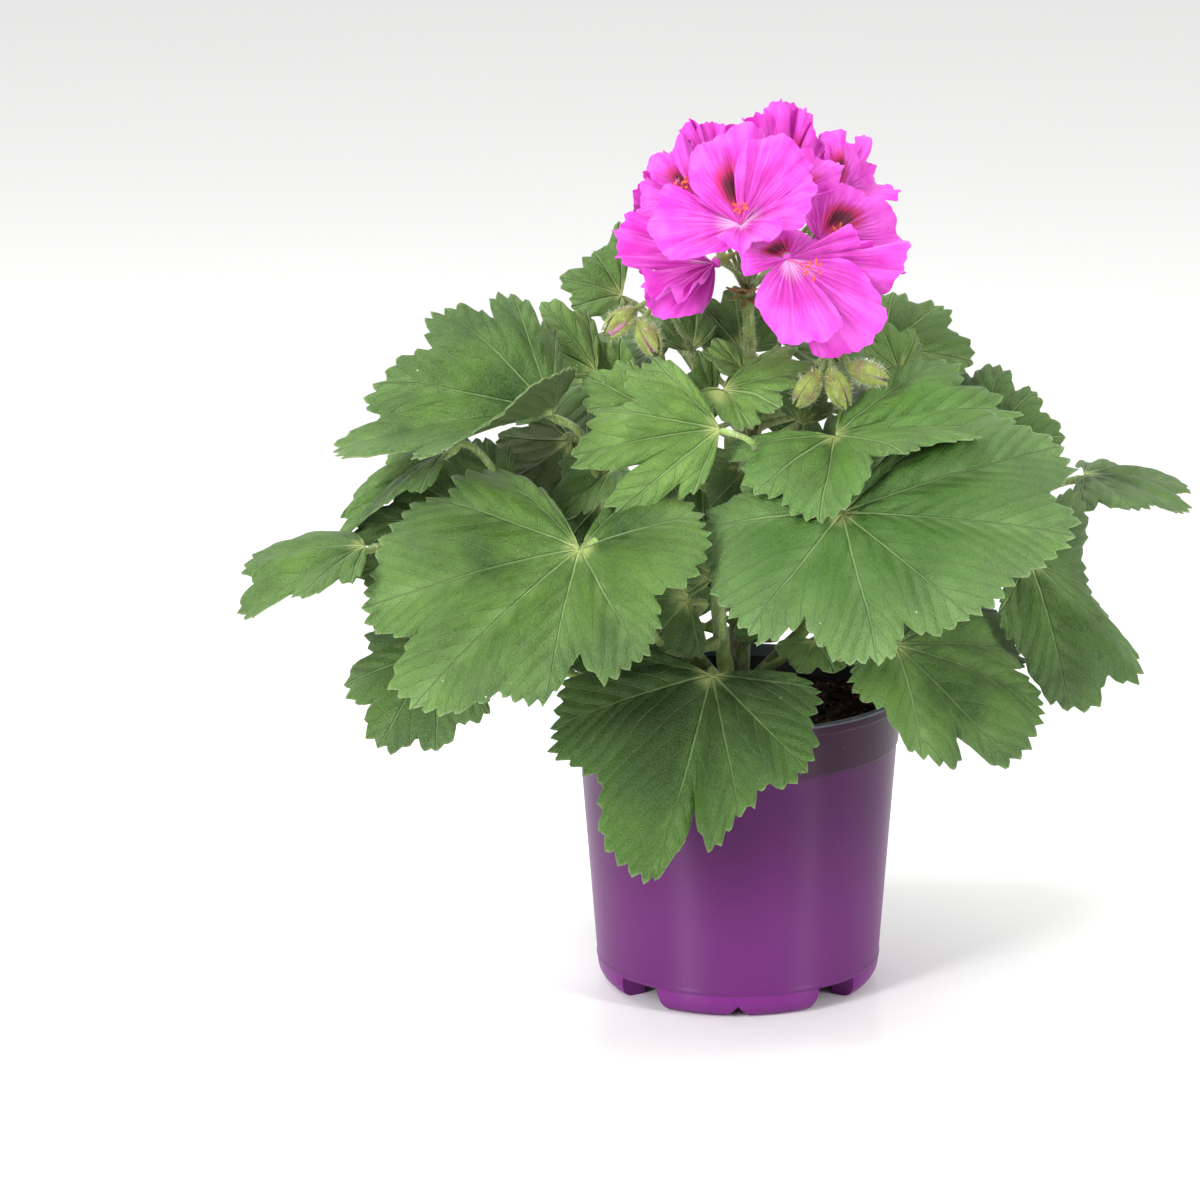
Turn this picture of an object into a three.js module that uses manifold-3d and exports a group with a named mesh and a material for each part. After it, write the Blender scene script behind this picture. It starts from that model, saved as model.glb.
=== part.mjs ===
import * as THREE from 'three';
import { mergeVertices } from 'three/addons/utils/BufferGeometryUtils.js';
import Module from 'manifold-3d';

// Potted regal pelargonium, in millimetres, +Z up.
// The origin is on the floor, on the pot's axis, and -Y is the plant's front.
const wasm = await Module();
wasm.setup();

// Pot: a 12 cm nursery pot on four moulded feet
const rimRadius = 60;
const rimHeight = 108.6;
const seamRadius = 51;
const seamHeight = 8.8;
const footRadius = 46;
const wall = 1.1;
const lipDepth = 4.5;
const lipStep = 1;
const bandDrop = 19.5;
const bandStep = 0.5;
const footSpread = 70;
const footDepth = 6;
// Radius beyond the floor ring and share of the seam's height, up the foot's bulge
const footBulge = [[0, 0], [2.6, 0.18], [4.2, 0.45], [4.8, 0.75]];
const notchWidth = 5;
const notchHeight = 4.5;
const drainRadius = 3.5;
const drainRing = 34;
const drainCount = 8;
const potSides = 40;

// Soil and stems
const soilDrop = 11;
const soilMound = 2;
const gap = 0.3;
const stemSides = 8;
const stalkLean = 0.35;

// Leaf blades and petals
const bladeThickness = 0.7;
const petalThickness = 0.6;
const petioleRadius = 1.4;
const pedicelRadius = 0.9;
const innerShare = 0.04;
const clawRadius = 2.4;
const joinRadius = 2.2;

const green = { color: 0x5d8a3c, roughness: 0.65 };
const stemGreen = { color: 0x6f8f45, roughness: 0.6 };
const woodBrown = { color: 0x6d6034, roughness: 0.8 };
const pink = { color: 0xe64fd6, roughness: 0.5 };
const coral = { color: 0xdc5228, roughness: 0.5 };
const budGreen = { color: 0x8f9b4c, roughness: 0.6 };
const potPurple = { color: 0x6a2f6e, roughness: 0.35 };
const soilBrown = { color: 0x2a211b, roughness: 0.95 };
const bractBrown = { color: 0x8b6b3f, roughness: 0.7 };

// Each stem is a smooth curve through a few points, with one radius
const stems = {
  main: { radius: 4.2, points: [[0, 0, 66], [0, 0, 97], [1, 1, 140], [3, 3, 180], [4, 0, 214]] },
  front: { radius: 2.8, points: [[-1, -7, 106], [-5, -26, 126], [-7, -32, 150], [-6, -33, 176]] },
  left: { radius: 2.6, points: [[-7, -1, 110], [-26, -6, 136], [-40, -9, 166], [-46, -9, 192]] },
  right: { radius: 2.6, points: [[7, 0, 112], [27, 0, 134], [42, 4, 162], [48, 8, 188]] },
  back: { radius: 2.6, points: [[0, 7, 114], [0, 28, 138], [-2, 42, 164], [-3, 50, 188]] },
};

// A leaf runs from its heart, where the leaf stalk ends, to the tips of its lobes, which go
// anticlockwise seen from its upper side. It grows from a stem, at a share of that stem's length.
const leaves = {
  front_left: { stem: 'front', at: 0.45, heart: [-53, -85, 179],
    tips: [[-66, -66, 195], [-82, -58, 202], [-108, -66, 194], [-126, -88, 161], [-109, -114, 133],
      [-65, -120, 135], [-32, -110, 147], [-11, -78, 190], [-31, -64, 198]] },
  front_right: { stem: 'front', at: 0.7, heart: [35, -80, 190],
    tips: [[4, -62, 198], [-13, -72, 184], [3, -100, 153], [46, -116, 149], [77, -110, 161],
      [112, -88, 186], [110, -62, 210], [76, -52, 220]] },
  upper_right: { stem: 'main', at: 0.7, heart: [33, -58, 212],
    tips: [[-7, -60, 207], [5, -76, 197], [28, -86, 189], [56, -84, 213], [93, -60, 215],
      [95, -38, 221], [70, -28, 233], [43, -34, 227]] },
  centre: { stem: 'front', at: 0.95, heart: [-6, -66, 216],
    tips: [[-29, -50, 238], [-49, -58, 222], [-57, -66, 208], [-40, -78, 190], [-15, -76, 196]] },
  top_small: { stem: 'main', at: 0.88, heart: [-5, -48, 226],
    tips: [[-14, -52, 226], [5, -58, 214], [15, -56, 223], [27, -45, 232], [17, -30, 239],
      [1, -32, 231]] },
  pot_front: { stem: 'front', at: 0.3, heart: [-9, -58, 128],
    tips: [[-55, -48, 135], [-65, -66, 112], [-28, -96, 65], [1, -92, 88], [24, -84, 101],
      [28, -62, 124]] },
  low_right: { stem: 'right', at: 0.15, heart: [54, -52, 137],
    tips: [[38, -62, 130], [64, -78, 105], [94, -66, 98], [108, -42, 115], [101, -22, 128],
      [88, -6, 141], [66, -22, 142]] },
  droop_right: { stem: 'right', at: 0.5, heart: [102, -18, 159],
    tips: [[91, -28, 142], [117, -36, 109], [143, -24, 120], [126, -4, 145], [122, 8, 178]] },
  far_right: { stem: 'right', at: 0.65, heart: [126, 45, 176],
    tips: [[122, 12, 171], [140, 10, 171], [161, 30, 167], [167, 62, 167], [154, 92, 167],
      [132, 95, 169]] },
  behind_right: { stem: 'right', at: 0.8, heart: [88, 22, 193],
    tips: [[112, 2, 184], [116, 12, 197], [107, 28, 211], [94, 42, 217], [77, 50, 213]] },
  back_upper_right: { stem: 'right', at: 0.97, heart: [53, 45, 222],
    tips: [[60, 22, 213], [84, 30, 221], [74, 52, 237], [56, 62, 241], [41, 60, 235]] },
  bud_leaf: { stem: 'main', at: 0.93, heart: [46, -5, 221],
    tips: [[51, -14, 220], [64, -8, 228], [63, 4, 235], [51, 10, 238]] },
  upper_left: { stem: 'left', at: 0.72, heart: [-63, -50, 218],
    tips: [[-63, -24, 242], [-79, -22, 258], [-101, -32, 253], [-125, -42, 229],
      [-138, -62, 209], [-102, -88, 214], [-58, -86, 242]] },
  mid_left: { stem: 'left', at: 0.62, heart: [-100, -45, 204],
    tips: [[-119, -28, 202], [-137, -40, 184], [-141, -48, 171], [-125, -64, 188],
      [-108, -66, 194]] },
  far_left: { stem: 'left', at: 0.4, heart: [-126, -72, 177],
    tips: [[-140, -48, 177], [-169, -66, 171], [-167, -86, 156], [-146, -96, 166],
      [-129, -94, 170]] },
  shade_left: { stem: 'left', at: 0.5, heart: [-82, -48, 180],
    tips: [[-78, -38, 204], [-87, -36, 208], [-117, -44, 195], [-131, -52, 181],
      [-131, -66, 165], [-115, -66, 148]] },
  shade_centre: { stem: 'left', at: 0.92, heart: [-58, -22, 203],
    tips: [[-61, -40, 183], [-78, -34, 191], [-84, -16, 203], [-68, -8, 207]] },
  below_centre: { stem: 'front', at: 0.85, heart: [-43, -42, 197],
    tips: [[-60, -40, 202], [-60, -56, 183], [-49, -62, 189], [-37, -56, 197]] },
  low_left: { stem: 'left', at: 0.15, heart: [-103, -50, 135],
    tips: [[-126, -44, 142], [-136, -54, 124], [-124, -68, 105], [-103, -74, 106],
      [-85, -70, 118]] },
  bright_left: { stem: 'left', at: 0.97, heart: [-49, -20, 226],
    tips: [[-53, 2, 244], [-69, 0, 249], [-67, -12, 234], [-61, -24, 226]] },
  flower_left: { stem: 'main', at: 0.8, heart: [-41, 15, 247],
    tips: [[-42, 28, 271], [-51, 24, 262], [-63, 14, 254], [-58, 4, 245], [-43, -2, 239]] },
  light_left: { stem: 'main', at: 0.75, heart: [-32, -32, 217],
    tips: [[-37, -22, 231], [-54, -22, 226], [-52, -34, 216]] },
  over_soil: { stem: 'right', at: 0.05, heart: [27, -30, 133],
    tips: [[13, -38, 133], [21, -46, 126], [34, -46, 126], [43, -36, 130]] },
  inner_low: { stem: 'left', at: 0.3, heart: [-17, -40, 150],
    tips: [[-13, -30, 163], [-31, -38, 150], [-32, -50, 135], [-13, -52, 133]] },
};

// The leaves behind are alike: a heart, a compass direction, a slope in degrees and a length
const backLeaves = {
  back_left_low: { stem: 'back', at: 0.15, heart: [-62, 34, 140], turn: 158, slope: -22, reach: 54 },
  back_left: { stem: 'back', at: 0.5, heart: [-56, 60, 176], turn: 135, slope: -14, reach: 56 },
  back_left_high: { stem: 'left', at: 0.8, heart: [-52, 34, 212], turn: 155, slope: -4, reach: 46 },
  back_middle_low: { stem: 'back', at: 0.3, heart: [-14, 72, 142], turn: 100, slope: -30, reach: 52 },
  back_middle: { stem: 'back', at: 0.75, heart: [0, 68, 198], turn: 88, slope: -14, reach: 54 },
  back_middle_high: { stem: 'main', at: 0.86, heart: [14, 40, 226], turn: 70, slope: 0, reach: 40 },
  back_right: { stem: 'back', at: 0.6, heart: [46, 66, 172], turn: 55, slope: -16, reach: 54 },
  back_right_low: { stem: 'right', at: 0.3, heart: [64, 38, 138], turn: 30, slope: -26, reach: 52 },
  back_right_high: { stem: 'back', at: 0.95, heart: [42, 62, 206], turn: 60, slope: -6, reach: 42 },
  back_top: { stem: 'main', at: 0.9, heart: [-22, 42, 226], turn: 120, slope: 4, reach: 38 },
};

// A floret runs from its throat to the edges of its petals, seen from the inside as the
// leaves are. Petals that another floret hides are given by their compass direction and rise.
const florets = {
  floret_front: { throat: [1, -44, 282], faces: [-90, 20], petals: [
    [[10, -22, 310], [2, -24, 313], [-9, -30, 309], [-15, -36, 305], [-16, -40, 293]],
    [[-24, -36, 293], [-30, -40, 286], [-28, -46, 276], [-19, -52, 271], [-4, -52, 275]],
    [[-8, -56, 279], [1, -60, 277], [8, -60, 278], [15, -55, 285]],
    [[20, -50, 282], [25, -46, 289], [26, -42, 295], [22, -38, 300], [16, -36, 300]]],
    hidden: [[50, 50]] },
  floret_right: { throat: [17, -48, 271], faces: [-70, 0], petals: [
    [[9, -52, 266], [6, -56, 257], [12, -62, 249], [21, -66, 245], [30, -66, 246], [36, -62, 253]],
    [[26, -56, 240], [32, -56, 237], [42, -54, 242], [49, -50, 250], [49, -46, 258], [37, -40, 269]],
    [[50, -36, 258], [57, -32, 266], [52, -28, 271], [42, -28, 273]],
    [[41, -38, 274], [40, -38, 279], [35, -38, 280], [30, -40, 276]],
    [[28, -40, 275], [21, -36, 279], [13, -36, 278], [3, -40, 275], [1, -46, 271], [2, -50, 266]]],
    hidden: [] },
  floret_middle: { throat: [11, -26, 286], faces: [-80, 40], petals: [
    [[19, -16, 304], [12, -16, 307], [3, -20, 305], [0, -26, 301], [0, -30, 294]],
    [[32, -20, 290], [36, -16, 296], [30, -14, 301], [21, -14, 303]]],
    hidden: [] },
  floret_side: { throat: [28, -22, 273], faces: [-50, 20], petals: [
    [[56, -8, 268], [56, -8, 275], [52, -8, 282], [45, -8, 288], [35, -10, 291], [27, -14, 288],
      [22, -20, 281]]],
    hidden: [[10, -30], [-20, -45]] },
  floret_low: { throat: [-8, -28, 266], faces: [-120, -10], petals: [
    [[-34, -20, 282], [-41, -22, 279], [-42, -26, 272], [-40, -32, 266]],
    [[-33, -38, 261], [-32, -40, 254], [-24, -40, 249], [-14, -38, 250], [-9, -34, 255]],
    [[-34, -44, 264], [-28, -47, 258], [-20, -47, 257], [-13, -42, 261]]],
    hidden: [[175, -10], [150, -35]] },
  floret_left: { throat: [-14, -18, 286], faces: [-140, 30], petals: [
    [[-13, -6, 302], [-20, -6, 306], [-23, -6, 302], [-30, -8, 299], [-31, -12, 296], [-28, -18, 293]]],
    hidden: [[170, -10], [140, 20]] },
  floret_back_left: { throat: [-8, -2, 291], faces: [150, 60], petals: [
    [[4, 4, 309], [-4, 4, 309], [-8, 4, 310], [-14, 4, 308]],
    [[-14, -2, 308], [-16, 0, 312], [-19, -2, 309], [-17, -6, 303]]],
    hidden: [[150, 20], [110, 30]] },
  floret_top: { throat: [16, 4, 286], faces: [80, 60], petals: [
    [[30, 2, 301], [26, 4, 309], [25, 6, 313], [20, 8, 315], [15, 8, 317]],
    [[15, 4, 317], [8, 2, 314], [2, 0, 312], [2, -4, 308]]],
    hidden: [[110, 45], [70, 35]] },
  floret_back_right: { throat: [35, -4, 286], faces: [20, 40], petals: [
    [[41, 4, 287], [40, 6, 300], [36, 4, 307], [30, 2, 306], [29, 0, 300]],
    [[42, 8, 287], [45, 12, 294], [44, 14, 304], [41, 12, 300]]],
    hidden: [[20, 0], [60, 30]] },
  floret_far_left: { throat: [-18, 20, 276], faces: [135, 15], petals: [], hidden: 'ring' },
  floret_far_middle: { throat: [6, 32, 274], faces: [95, 20], petals: [], hidden: 'ring' },
  floret_far_right: { throat: [32, 22, 272], faces: [40, 10], petals: [], hidden: 'ring' },
};
const hiddenReach = 21;
const petalSpread = 34;
const ringPetals = 5;
const ringOpening = 62;

// The flower stalk forks at the umbel, and buds nod on short stalks of their own
const flowerStalk = { radius: 2.2, points: [[4, -2, 219], [4, -4, 236], [3, -6, 252]] };
const umbelRadius = 3;
const budClusters = {
  buds_left: { root: { stem: 'main', at: 0.97 },
    stalk: [[-14, -20, 232], [-24, -26, 250]],
    buds: [{ at: [-40, -36, 247], tip: [-45, -40, 243] }, { at: [-31, -38, 242], tip: [-28, -42, 237] }] },
  buds_right: { root: { stem: 'main', at: 0.95 },
    stalk: [[22, -26, 228], [33, -38, 236]],
    buds: [{ at: [34, -50, 227], tip: [37, -52, 221] }, { at: [44, -50, 232], tip: [50, -51, 230] },
      { at: [24, -50, 227], tip: [21, -51, 223] }] },
};
const budRadius = 4;
const budLength = 7;
const stamens = {
  stamens_front: { throat: [1, -44, 282], tip: [1, -51, 290] },
  stamens_right: { throat: [17, -48, 271], tip: [27, -60, 269] },
};
const stamenRadius = 0.8;

const vector = (point) => new THREE.Vector3(...point);

function direction(turn, rise) {
  const [a, e] = [turn, rise].map(THREE.MathUtils.degToRad);
  return new THREE.Vector3(Math.cos(a) * Math.cos(e), Math.sin(a) * Math.cos(e), Math.sin(e));
}

// Solids

function toSolid(geometry) {
  const bare = geometry.clone();
  bare.deleteAttribute('normal');
  bare.deleteAttribute('uv');
  const merged = mergeVertices(bare, 1e-4);
  const corners = [];
  for (let i = 0; i < merged.index.count; i += 3) {
    const [a, b, c] = merged.index.array.slice(i, i + 3);
    if (a !== b && b !== c && c !== a) corners.push(a, b, c);
  }
  const triVerts = new Uint32Array(corners);
  const vertProperties = new Float32Array(merged.attributes.position.array);
  const solid = new wasm.Manifold(new wasm.Mesh({ numProp: 3, vertProperties, triVerts }));
  if (solid.volume() > 0) return solid;
  for (let i = 0; i < triVerts.length; i += 3) {
    [triVerts[i], triVerts[i + 1]] = [triVerts[i + 1], triVerts[i]];
  }
  return new wasm.Manifold(new wasm.Mesh({ numProp: 3, vertProperties, triVerts }));
}

function toMesh(name, solid, finish) {
  const { vertProperties, triVerts } = solid.getMesh();
  const geometry = new THREE.BufferGeometry();
  geometry.setAttribute('position', new THREE.BufferAttribute(new Float32Array(vertProperties), 3));
  geometry.setIndex(new THREE.BufferAttribute(new Uint32Array(triVerts), 1));
  geometry.computeVertexNormals();
  const mesh = new THREE.Mesh(geometry, new THREE.MeshStandardMaterial({ metalness: 0, ...finish }));
  mesh.name = name;
  return mesh;
}

const joined = (solids) => solids.reduce((whole, next) => whole.add(next));

function largestPiece(solid) {
  return solid.decompose().reduce((best, piece) => (piece.volume() > best.volume() ? piece : best));
}

function tube(curve, radius, steps, sides = stemSides) {
  const section = new THREE.Shape();
  section.absarc(0, 0, radius, 0, 2 * Math.PI);
  const options = { extrudePath: curve, steps, curveSegments: sides / 2 };
  return toSolid(new THREE.ExtrudeGeometry(section, options));
}

function ball(point, radius) {
  const geometry = new THREE.SphereGeometry(radius, 6, 4);
  geometry.translate(...point);
  return toSolid(geometry);
}

// A thin sheet over a surface that gives a point for each share across and along it
function sheet(surface, columns, rows, thickness) {
  const geometry = new THREE.BoxGeometry(1, 1, 1, columns, rows, 1);
  const position = geometry.attributes.position;
  const step = 0.01;
  for (let i = 0; i < position.count; i += 1) {
    const across = position.getX(i) + 0.5;
    const along = position.getY(i) + 0.5;
    const point = surface(across, along);
    const acrossWay = surface(across + step, along).sub(surface(across - step, along));
    const alongWay = surface(across, along + step).sub(surface(across, along - step));
    const normal = alongWay.cross(acrossWay).normalize();
    point.addScaledVector(normal, -position.getZ(i) * thickness);
    position.setXYZ(i, point.x, point.y, point.z);
  }
  return toSolid(geometry);
}

// A smooth value through a list, at a place counted in list items
function valueAt(list, place, mix) {
  const i = Math.min(Math.max(Math.floor(place), 0), list.length - 2);
  const before = list[Math.max(i - 1, 0)];
  const after = list[Math.min(i + 2, list.length - 1)];
  return mix(before, list[i], list[i + 1], after, place - i);
}

const smooth = (a, b, c, d, t) =>
  b + 0.5 * t * (c - a + t * (2 * a - 5 * b + 4 * c - d + t * (3 * (b - c) + d - a)));

// A blade fans out from its heart to its lobes and dips between them
function fan(heart, tips, { notch, arch, hem }) {
  const root = vector(heart);
  const rays = tips.map((tip) => vector(tip).sub(root));
  const reach = rays.map((ray) => ray.length());
  const ways = rays.map((ray) => ray.clone().normalize());
  const facing = new THREE.Vector3();
  ways.slice(1).forEach((way, i) => facing.add(ways[i].clone().cross(way)));
  facing.normalize();
  const last = tips.length - 1;
  const beyond = (end, near) => end.clone().multiplyScalar(1.9).addScaledVector(near, -0.9).normalize();
  ways.unshift(beyond(ways[0], ways[1]));
  ways.push(beyond(ways[last + 1], ways[last]));
  reach.unshift(reach[0] * 0.9);
  reach.push(reach[last + 1] * 0.9);
  const part = (axis, place) => valueAt(ways.map((way) => way[axis]), place, smooth);
  return (acrossShare, alongShare) => {
    const place = acrossShare * (last + 2 * hem) - hem;
    const way = new THREE.Vector3(part('x', place + 1), part('y', place + 1), part('z', place + 1));
    const dip = 0.5 - 0.5 * Math.cos(2 * Math.PI * place);
    const over = Math.max(-place, place - last, 0) / hem;
    const rounding = Math.sqrt(Math.max(1 - 0.85 * over * over, 0.08));
    const length = valueAt(reach, place + 1, smooth) * (over > 0 ? rounding : 1 - notch * dip * dip);
    const share = innerShare + (1 - innerShare) * alongShare;
    const point = root.clone().addScaledVector(way.normalize(), length * share);
    return point.addScaledVector(facing, length * arch * share * (1 - share));
  };
}

// Pot and soil

function turned(profile, sides) {
  const geometry = new THREE.LatheGeometry(profile.map(([r, z]) => new THREE.Vector2(r, z)), sides);
  geometry.rotateX(Math.PI / 2);
  return toSolid(geometry);
}

const wallRadius = (z) => THREE.MathUtils.mapLinear(z, seamHeight, rimHeight, seamRadius, rimRadius - lipStep);
const bandHeight = rimHeight - bandDrop;
const lipHeight = rimHeight - lipDepth;
const baseHeight = seamHeight + wall;

function potShell() {
  return turned([
    [0, seamHeight],
    [seamRadius - footDepth, seamHeight],
    [seamRadius, seamHeight],
    [wallRadius(bandHeight) - bandStep, bandHeight],
    [wallRadius(bandHeight), bandHeight + bandStep],
    [wallRadius(lipHeight), lipHeight],
    [rimRadius, lipHeight + lipStep],
    [rimRadius, rimHeight],
    [rimRadius - lipStep - wall, rimHeight],
    [wallRadius(lipHeight) - wall, lipHeight],
    [seamRadius - wall, baseHeight],
    [0, baseHeight],
  ], potSides);
}

// The foot ring bulges out from the floor to the seam
function footRing() {
  const inner = footRadius - footDepth;
  const top = seamHeight + wall / 2;
  const outside = footBulge.map(([out, share]) => [footRadius + out, share * seamHeight]);
  return turned([[inner, 0], ...outside, [seamRadius - wall / 10, top], [inner, top], [inner, 0]], potSides);
}

function wedge(middle, spread, height) {
  const shape = new THREE.Shape();
  const [from, to] = [middle - spread / 2, middle + spread / 2].map(THREE.MathUtils.degToRad);
  shape.moveTo(0, 0);
  shape.lineTo(2 * rimRadius * Math.cos(from), 2 * rimRadius * Math.sin(from));
  shape.lineTo(2 * rimRadius * Math.cos(to), 2 * rimRadius * Math.sin(to));
  const geometry = new THREE.ExtrudeGeometry(shape, { depth: height, bevelEnabled: false });
  geometry.translate(0, 0, -1);
  return toSolid(geometry);
}

// A notch in the middle of a foot, open at the floor
function footNotch(turn) {
  const shape = new THREE.Shape();
  shape.moveTo(-notchWidth / 2 - 0.6, -1);
  shape.lineTo(notchWidth / 2 + 0.6, -1);
  shape.lineTo(0, notchHeight);
  const geometry = new THREE.ExtrudeGeometry(shape, { depth: footRadius, bevelEnabled: false });
  geometry.translate(0, 0, footRadius / 2);
  geometry.rotateX(Math.PI / 2);
  geometry.rotateZ(THREE.MathUtils.degToRad(turn));
  return toSolid(geometry);
}

function drainHole(turn) {
  const geometry = new THREE.CylinderGeometry(drainRadius, drainRadius, 3 * seamHeight, 6);
  geometry.rotateX(Math.PI / 2);
  geometry.translate(drainRing * Math.cos(turn), drainRing * Math.sin(turn), seamHeight);
  return toSolid(geometry);
}

function pot() {
  let feet = footRing();
  for (let i = 0; i < 4; i += 1) feet = feet.subtract(wedge(45 + 90 * i, 90 - footSpread, seamHeight + 1));
  for (let i = 0; i < 4; i += 1) feet = feet.subtract(footNotch(90 * i));
  let body = potShell().add(feet);
  for (let i = 0; i < drainCount; i += 1) {
    body = body.subtract(drainHole((2 * Math.PI * (i + 0.5)) / drainCount));
  }
  return body;
}

const soilHeight = rimHeight - soilDrop;

function soil(root) {
  const edge = wallRadius(soilHeight) - wall - 2 * gap;
  const body = turned([
    [0, baseHeight + gap],
    [seamRadius - wall - 2 * gap, baseHeight + gap],
    [edge, soilHeight - 1],
    [edge * 0.6, soilHeight],
    [0, soilHeight + soilMound],
  ], 36);
  return body.subtract(root);
}

// Stems and leaf stalks

const stemCurves = Object.fromEntries(Object.entries(stems).map(([name, { points }]) =>
  [name, new THREE.CatmullRomCurve3(points.map(vector))]));

const stemSolid = (name, grow = 0) => tube(stemCurves[name], stems[name].radius + grow, 6);

// A stalk leaves its stem square to it, a gap away from its skin
function stalkStart({ stem, at }, target, radius) {
  const curve = stemCurves[stem];
  const centre = curve.getPointAt(at);
  const way = target.clone().sub(centre);
  const tangent = curve.getTangentAt(at);
  const lean = way.clone().normalize().multiplyScalar(stalkLean);
  way.addScaledVector(tangent, -way.dot(tangent)).normalize();
  return {
    point: centre.addScaledVector(way, stems[stem].radius + gap + radius / 2),
    way: way.clone().add(lean).normalize(),
  };
}

function petioleCurve({ stem, at, heart }, blade) {
  const end = vector(heart);
  const middle = blade(0.5, 0.5).sub(end).normalize();
  const { point, way } = stalkStart({ stem, at }, end, petioleRadius);
  const length = point.distanceTo(end);
  const rise = new THREE.Vector3(0, 0, length * 0.06);
  const out = point.clone().addScaledVector(way, length * 0.3).add(rise);
  const into = end.clone().addScaledVector(middle, -length * 0.16);
  into.z -= length * 0.1;
  return new THREE.CatmullRomCurve3([point, out, into, end]);
}

// Blades and petals

function backTips({ heart, turn, slope, reach }) {
  const lobes = [-112, -56, 0, 56, 112];
  return lobes.map((side) => {
    const fall = slope - 8 * Math.abs(side / 56);
    const length = reach * (1 - 0.1 * Math.abs(side / 56));
    return vector(heart).addScaledVector(direction(turn + side, fall), length).toArray();
  });
}

const bladeShape = { notch: 0.14, arch: 0.22, hem: 0.5 };
const petalShape = { notch: 0.03, arch: 0.12, hem: 0.35 };
const bladeRows = 2;
const petalRows = 1;

const bladeColumns = (tips) => 2 * tips.length;
const petalColumns = (tips) => Math.max(4, tips.length);

function leafShapes() {
  const all = Object.entries(leaves);
  Object.entries(backLeaves).forEach(([name, leaf]) => all.push([name, { ...leaf, tips: backTips(leaf) }]));
  return all.map(([name, leaf]) => {
    const surface = fan(leaf.heart, leaf.tips, bladeShape);
    const stalk = petioleCurve(leaf, surface);
    return {
      name,
      blade: sheet(surface, bladeColumns(leaf.tips), bladeRows, bladeThickness),
      grownBlade: sheet(surface, bladeColumns(leaf.tips), bladeRows, bladeThickness + 2 * gap),
      stalk: tube(stalk, petioleRadius, 5, 6).add(ball(leaf.heart, joinRadius)),
      grownStalk: tube(stalk, petioleRadius + gap, 5, 6).add(ball(leaf.heart, joinRadius + gap)),
    };
  });
}

// A petal that another floret hides: four points of its edge, seen from the inside
function hiddenTips(throat, faces, turn, rise) {
  const way = direction(turn, rise);
  const side = way.clone().cross(direction(...faces)).normalize();
  const sides = [1, 1 / 3, -1 / 3, -1].map((share) => THREE.MathUtils.degToRad(share * petalSpread));
  return sides.map((angle) => {
    const ray = way.clone().multiplyScalar(Math.cos(angle)).addScaledVector(side, Math.sin(angle));
    return vector(throat).addScaledVector(ray, hiddenReach).toArray();
  });
}

function ringTips(throat, faces) {
  const out = direction(...faces);
  const up = new THREE.Vector3(0, 0, 1).addScaledVector(out, -out.z).normalize();
  const side = up.clone().cross(out).normalize();
  const open = THREE.MathUtils.degToRad(ringOpening);
  const petals = [];
  for (let i = 0; i < ringPetals; i += 1) {
    const turn = (2 * Math.PI * i) / ringPetals + 0.3;
    const ray = up.clone().multiplyScalar(Math.cos(turn)).addScaledVector(side, Math.sin(turn));
    ray.multiplyScalar(Math.sin(open)).addScaledVector(out, Math.cos(open));
    const turnOf = THREE.MathUtils.radToDeg(Math.atan2(ray.y, ray.x));
    petals.push(hiddenTips(throat, faces, turnOf, THREE.MathUtils.radToDeg(Math.asin(ray.z))));
  }
  return petals;
}

function floretPetals({ throat, faces, petals, hidden }) {
  if (hidden === 'ring') return ringTips(throat, faces);
  return [...petals, ...hidden.map(([turn, rise]) => hiddenTips(throat, faces, turn, rise))];
}

function corolla(floret, thickness) {
  const petals = floretPetals(floret).map((tips) => {
    const surface = fan(floret.throat, tips, petalShape);
    return sheet(surface, petalColumns(tips), petalRows, thickness);
  });
  return joined([ball(floret.throat, clawRadius + (thickness - petalThickness) / 2), ...petals]);
}

// Flower stalk: one growth of a stem, an umbel and the short stalks of the florets

function pedicelCurve({ throat, faces }) {
  const umbel = vector(flowerStalk.points.at(-1));
  const out = direction(...faces);
  const end = vector(throat).addScaledVector(out, -(clawRadius + gap + 0.4));
  const middle = umbel.clone().lerp(end, 0.5).addScaledVector(out, -3);
  return new THREE.CatmullRomCurve3([umbel, middle, end]);
}

function flowerStalkSolid(grow = 0) {
  const stem = new THREE.CatmullRomCurve3(flowerStalk.points.map(vector));
  const pieces = [tube(stem, flowerStalk.radius + grow, 4), ball(flowerStalk.points.at(-1), umbelRadius + grow)];
  Object.values(florets).forEach((floret) => {
    pieces.push(tube(pedicelCurve(floret), pedicelRadius + grow, 3, 3));
  });
  return joined(pieces);
}

function budClusterSolid({ root, stalk, buds }, grow = 0) {
  const radius = pedicelRadius + grow;
  const { point } = stalkStart(root, vector(stalk[0]), pedicelRadius);
  const fork = stalk.at(-1);
  const main = new THREE.CatmullRomCurve3([point, ...stalk.map(vector)]);
  const pieces = [tube(main, radius, 5, 3), ball(fork, 1.5 * radius)];
  buds.forEach(({ at, tip }) => {
    const nod = vector(tip).sub(vector(at)).normalize();
    const neck = vector(at).addScaledVector(nod, -budLength * 0.8);
    const top = vector(fork).lerp(neck, 0.5).add(new THREE.Vector3(0, 0, 3));
    pieces.push(tube(new THREE.CatmullRomCurve3([vector(fork), top, neck]), radius, 3, 3));
    const geometry = new THREE.SphereGeometry(1, 8, 6);
    geometry.scale(budRadius + grow, budLength + grow, budRadius + grow);
    geometry.applyQuaternion(new THREE.Quaternion().setFromUnitVectors(new THREE.Vector3(0, 1, 0), nod));
    geometry.translate(...at);
    pieces.push(toSolid(geometry));
  });
  return joined(pieces);
}

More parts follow.
